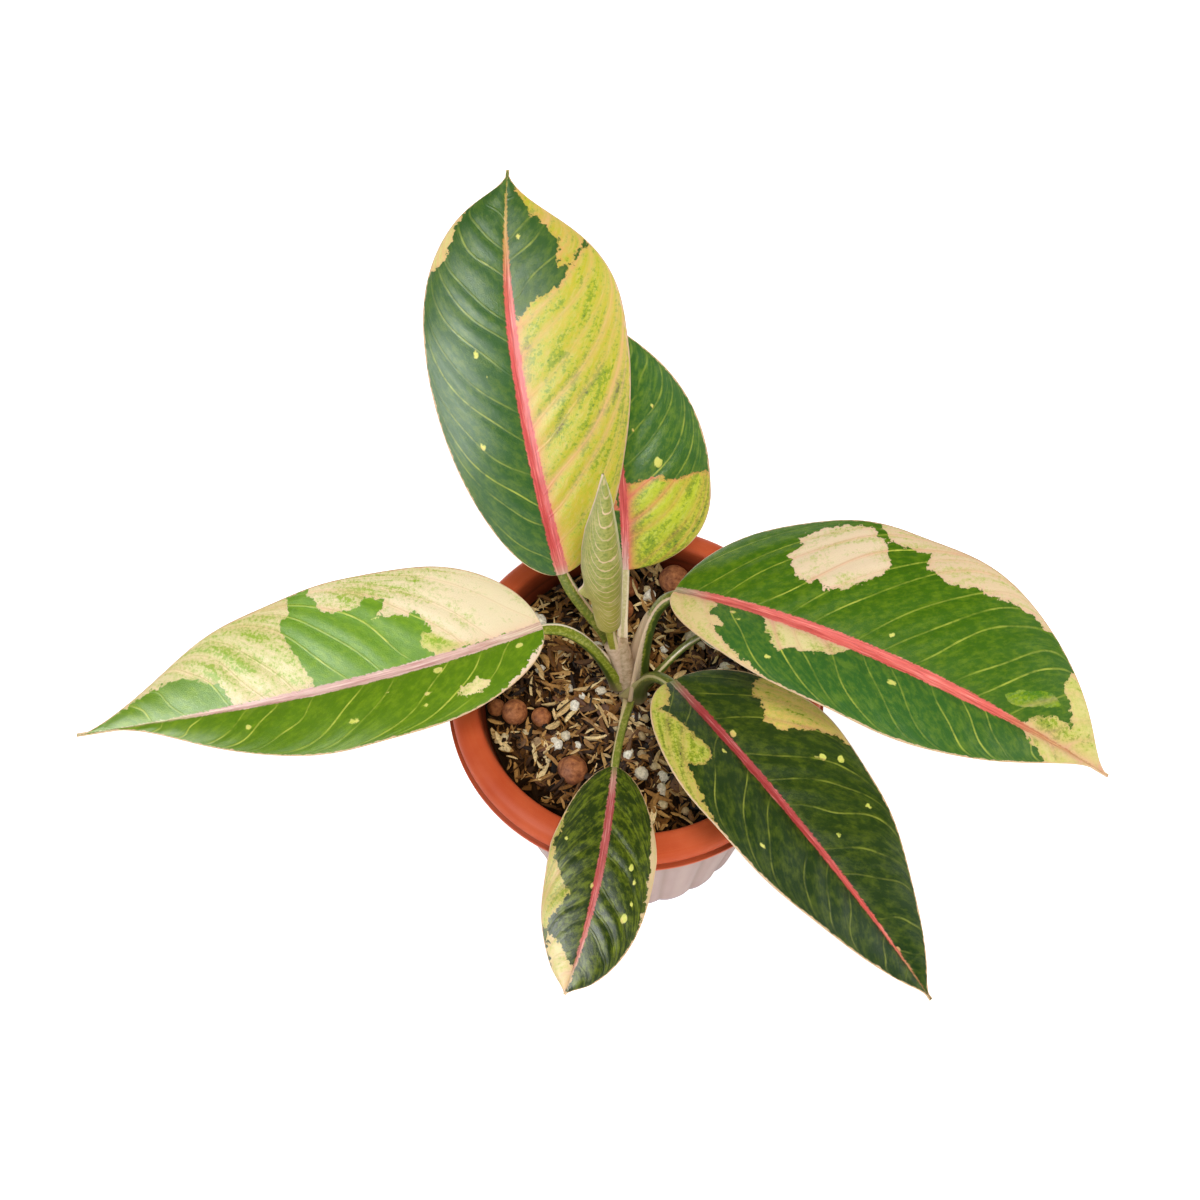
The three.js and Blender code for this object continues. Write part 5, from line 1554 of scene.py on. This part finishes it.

# %% [markdown]
# Hulls fall flat with a small tilt, and pile a few deep. Those that would poke through the pot are
# drawn in, and none lies where a clay ball is. Low ones are darker, as painted shade for the hollows
# between the hulls.

# %% Hulls
CLAY_BALLS = [
    (-48.6, -5.8, 116.5, 5.4), (-56.2, -1.2, 111.8, 3.8), (-38.2, -7.6, 114.0, 4.3),
    (-26.6, -31.4, 115.4, 6.3), (-20.0, -42.0, 113.6, 5.0), (19.0, 50.2, 117.0, 6.5),
    (-0.6, 49.4, 114.6, 4.7), (-3.0, 39.0, 114.8, 4.7),
]
HULLS = 5300
HULL_PILE = 4.6
chance = np.random.default_rng(11)


def scattered(count, spread, low, high):
    """Random places in a disc over the rough ground, between two heights above it."""
    radius = spread * np.sqrt(chance.random(count))
    turn = 2 * np.pi * chance.random(count)
    places = np.stack([radius * np.cos(turn), radius * np.sin(turn), chance.uniform(low, high, count)], -1)
    places[:, 2] += MIX_TOP + ground(places)
    return places


def turning(count, tilt, spin):
    """Random turns as matrices whose columns are the axes: any yaw, then a tilt and a spin."""
    yaw, lean, spin = (2 * np.pi * chance.random(count), tilt * chance.normal(size=count),
                       spin * chance.normal(size=count))
    along = np.stack([np.cos(lean) * np.cos(yaw), np.cos(lean) * np.sin(yaw), np.sin(lean)], -1)
    level = np.stack([-np.sin(yaw), np.cos(yaw), 0 * yaw], -1)
    upward = np.cross(along, level)
    side = np.cos(spin)[:, None] * level + np.sin(spin)[:, None] * upward
    return np.stack([along, side, np.cross(along, side)], -1)


def clear_of_balls(places, margin):
    """True for the places that no clay ball covers."""
    apart = [np.hypot(places[:, 0] - x, places[:, 1] - y) > radius + margin for x, y, _, radius in CLAY_BALLS]
    return np.all(apart, axis=0)


def hulls(count):
    """Boat-shaped shells: four corners on each of five rings, which swell, thin out and bend."""
    places = scattered(count, MIX_RADIUS - 2, -0.6, HULL_PILE)
    places = places[clear_of_balls(places, 0.8)]
    count = len(places)
    length = chance.gamma(6, 0.92, count).clip(2.2, 12)
    width = (length * chance.uniform(0.16, 0.38, count)).clip(0.6, 2.6)
    bend = 0.1 * chance.normal(size=count)
    s = np.array([-1, -0.6, 0, 0.6, 1])
    fat = np.array([0.3, 0.9, 1, 0.8, 0.25])
    section = np.array([(0.5, 0), (0, 0.4), (-0.5, 0), (0, 0.12)])
    local = np.zeros((count, 5, 4, 3))
    local[..., 0] = s[None, :, None] * length[:, None, None] / 2
    local[..., 1] = section[:, 0] * fat[:, None] * width[:, None, None]
    local[..., 1] += (bend * length)[:, None, None] * (s**2)[None, :, None]
    local[..., 2] = section[:, 1] * fat[:, None] * width[:, None, None]
    points = np.einsum("nij,nabj->nabi", turning(count, 0.28, 1.3), local) + places[:, None, None]
    reach = np.hypot(points[..., 0], points[..., 1]).max(axis=(1, 2))
    excess = np.clip(reach - (MIX_RADIUS - 0.4), 0, None) / np.hypot(*places[:, :2].T)
    points[..., :2] -= excess[:, None, None, None] * places[:, None, None, :2]
    start = np.arange(count)[:, None, None] * 20
    quads = (grid_faces(5, 4, True)[None] + start).reshape(-1, 4)
    ends = (np.array([[3, 2, 1, 0], [16, 17, 18, 19]])[None] + start).reshape(-1, 4)
    # Painted shade: the lower a hull lies in the pile, the darker its tone.
    raised = places[:, 2] - MIX_TOP - ground(places)
    tones = chance.beta(1.4, 1.9, count) * np.clip(0.2 + 1.3 * raised / HULL_PILE, 0, 1.2)
    return points.reshape(-1, 3), np.concatenate([quads, ends]), np.repeat(tones, 20)


hull_points, hull_quads, hull_tones = hulls(HULLS)
build("mix_hulls", hull_points, hull_quads, NO_TRIANGLES, HULL_LITTER, "potting_mix",
      ["potting_mix"], {"tone": hull_tones}, smooth=False)

# %% [markdown]
# Perlite, grit and bark chips are small lumps: spheres with a few dozen faces, stretched and dented.
# The clay balls are finer, because each stands alone. One of them is an uneven crumb.


# %% Lumps
def sphere_grid(rows, sides):
    """Unit sphere as rings between two poles: directions (rows, sides, 3)."""
    tilt = np.linspace(0, np.pi, rows + 2)[1:-1, None] - np.pi / 2
    turn = np.linspace(0, 2 * np.pi, sides, endpoint=False)[None]
    return np.stack([np.cos(tilt) * np.cos(turn), np.cos(tilt) * np.sin(turn), np.sin(tilt) + 0 * turn], -1)


def lumps(name, count, sizes, squash, low, high, dent, material, tone_range, seed):
    """Many dented lumps as one piece: sizes are their radii from and to, squash their three axes."""
    places = scattered(count, MIX_RADIUS - 1.5 * sizes[1], low, high)
    places = places[clear_of_balls(places, sizes[1])]
    count = len(places)
    ball = sphere_grid(6, 9)
    parts, tones = [], []
    axes = turning(count, 0.3, 0.6)
    for i, size in enumerate(chance.uniform(*sizes, count)):
        dented = 1 + dent * lattice_noise(ball * 2, 1.0, seed + i)
        shape = ball * (size * np.array(squash)) * dented[..., None]
        parts.append(closed_tube(shape @ axes[i].T + places[i]))
        tones.append(np.full(len(parts[-1][0]), chance.uniform(*tone_range)))
    return build(name, *merged(parts), material, "potting_mix", ["potting_mix"],
                 {"tone": np.concatenate(tones)}, smooth=False)


lumps("mix_perlite", 75, (1.2, 2.7), (1.15, 1.0, 0.85), 2.0, 4.0, 0.24, PERLITE, (0.2, 1.0), 20)
lumps("mix_bark_chips", 38, (2.0, 4.2), (1.3, 0.9, 0.22), 1.5, 4.0, 0.35, GRIT, (0.15, 0.6), 200)
lumps("mix_grit", 46, (1.3, 2.3), (1.1, 1.0, 0.8), 2.0, 3.8, 0.15, GRIT, (0.7, 1.0), 400)
CLAY_DENTS = {4: (0.09, 6.0), 5: (0.07, 6.0), 3: (0.07, 4.0)}
PORE_DEPTH, PORE_SIZE = 0.012, 2.5
for number, (x, y, z, radius) in enumerate(CLAY_BALLS, 1):
    ball = sphere_grid(40, 64)
    dent, lump = CLAY_DENTS.get(number, (0.035, 9.0))
    pores = PORE_DEPTH * lattice_noise(ball * 10, PORE_SIZE, number)
    swell = 1 - dent + dent * lattice_noise(ball * 10, lump, number) + pores
    rings = ball * radius * swell[..., None] + np.array([x, y, z])
    build(f"ball_{number}", *closed_tube(rings), FIRED_CLAY, "fired_clay", [f"clay_ball_{number}"])

# %% [markdown]
# ## The studio
# The floor is a white light table, so it stays white under the plant and fills the shade from below.
# The overhead key lamp is cross-polarised, as for photographs of glossy leaves: it lights the colours
# without a glare, so it is hidden from reflections. Two plain softboxes give nothing but the gloss: a
# large one in front on the left for the tall leaf, and a small low one on the right for the tip of the
# front right leaf.

# %% Floor and lights
FLOOR_HALF = 6.0
floor_mesh = bpy.data.meshes.new("floor")
corner = [(-FLOOR_HALF, -FLOOR_HALF, 0), (FLOOR_HALF, -FLOOR_HALF, 0), (FLOOR_HALF, FLOOR_HALF, 0),
          (-FLOOR_HALF, FLOOR_HALF, 0)]
floor_mesh.from_pydata(corner, [], [(0, 1, 2, 3)])
floor = bpy.data.objects.new("floor", floor_mesh)
bpy.context.scene.collection.objects.link(floor)
paper, paper_tree, paper_shader = new_finish("light_table_acrylic", 0.9, 1.49, Emission_Strength=0.75)
paper_shader.inputs["Emission Color"].default_value = linear("#ffffff")
paper_grain = node(paper_tree, "TexNoise", {"Scale": 4.0})
paper_whites = {0: paper_grain, 6: "#f4f4f3", 7: "#f8f8f7"}
paper_colour = node(paper_tree, "Mix", paper_whites, data_type="RGBA").outputs[2]
paper_tree.links.new(paper_colour, paper_shader.inputs["Base Color"])
floor_mesh.materials.append(paper)

world = bpy.data.worlds.new("white_room")
world.use_nodes = True
world.node_tree.nodes["Background"].inputs["Color"].default_value = linear("#ffffff")
world.node_tree.nodes["Background"].inputs["Strength"].default_value = 0.5
world.cycles_visibility.glossy = False
bpy.context.scene.world = world


def softbox(name, azimuth, elevation, distance, size, watts, glossy):
    """A square area light that faces the plant, from a compass angle and a height angle in degrees."""
    turn, rise = math.radians(azimuth), math.radians(elevation)
    way = Vector((math.cos(rise) * math.cos(turn), math.cos(rise) * math.sin(turn), math.sin(rise)))
    light = bpy.data.lights.new(name, "AREA")
    light.size = size
    light.energy = watts
    lamp = bpy.data.objects.new(name, light)
    bpy.context.scene.collection.objects.link(lamp)
    lamp.location = Vector((0, 0, 0.16)) + distance * way
    lamp.rotation_euler = (-way).to_track_quat("-Z", "Y").to_euler()
    lamp.visible_glossy = glossy
    lamp.visible_diffuse = not glossy


softbox("key", -80, 71, 1.5, 0.3, 14.5, False)
softbox("sheen", -145, 32, 1.1, 0.7, 30, True)
softbox("glint", 4, 22, 1.2, 0.25, 2.0, True)
bpy.context.scene.view_settings.view_transform = "Standard"
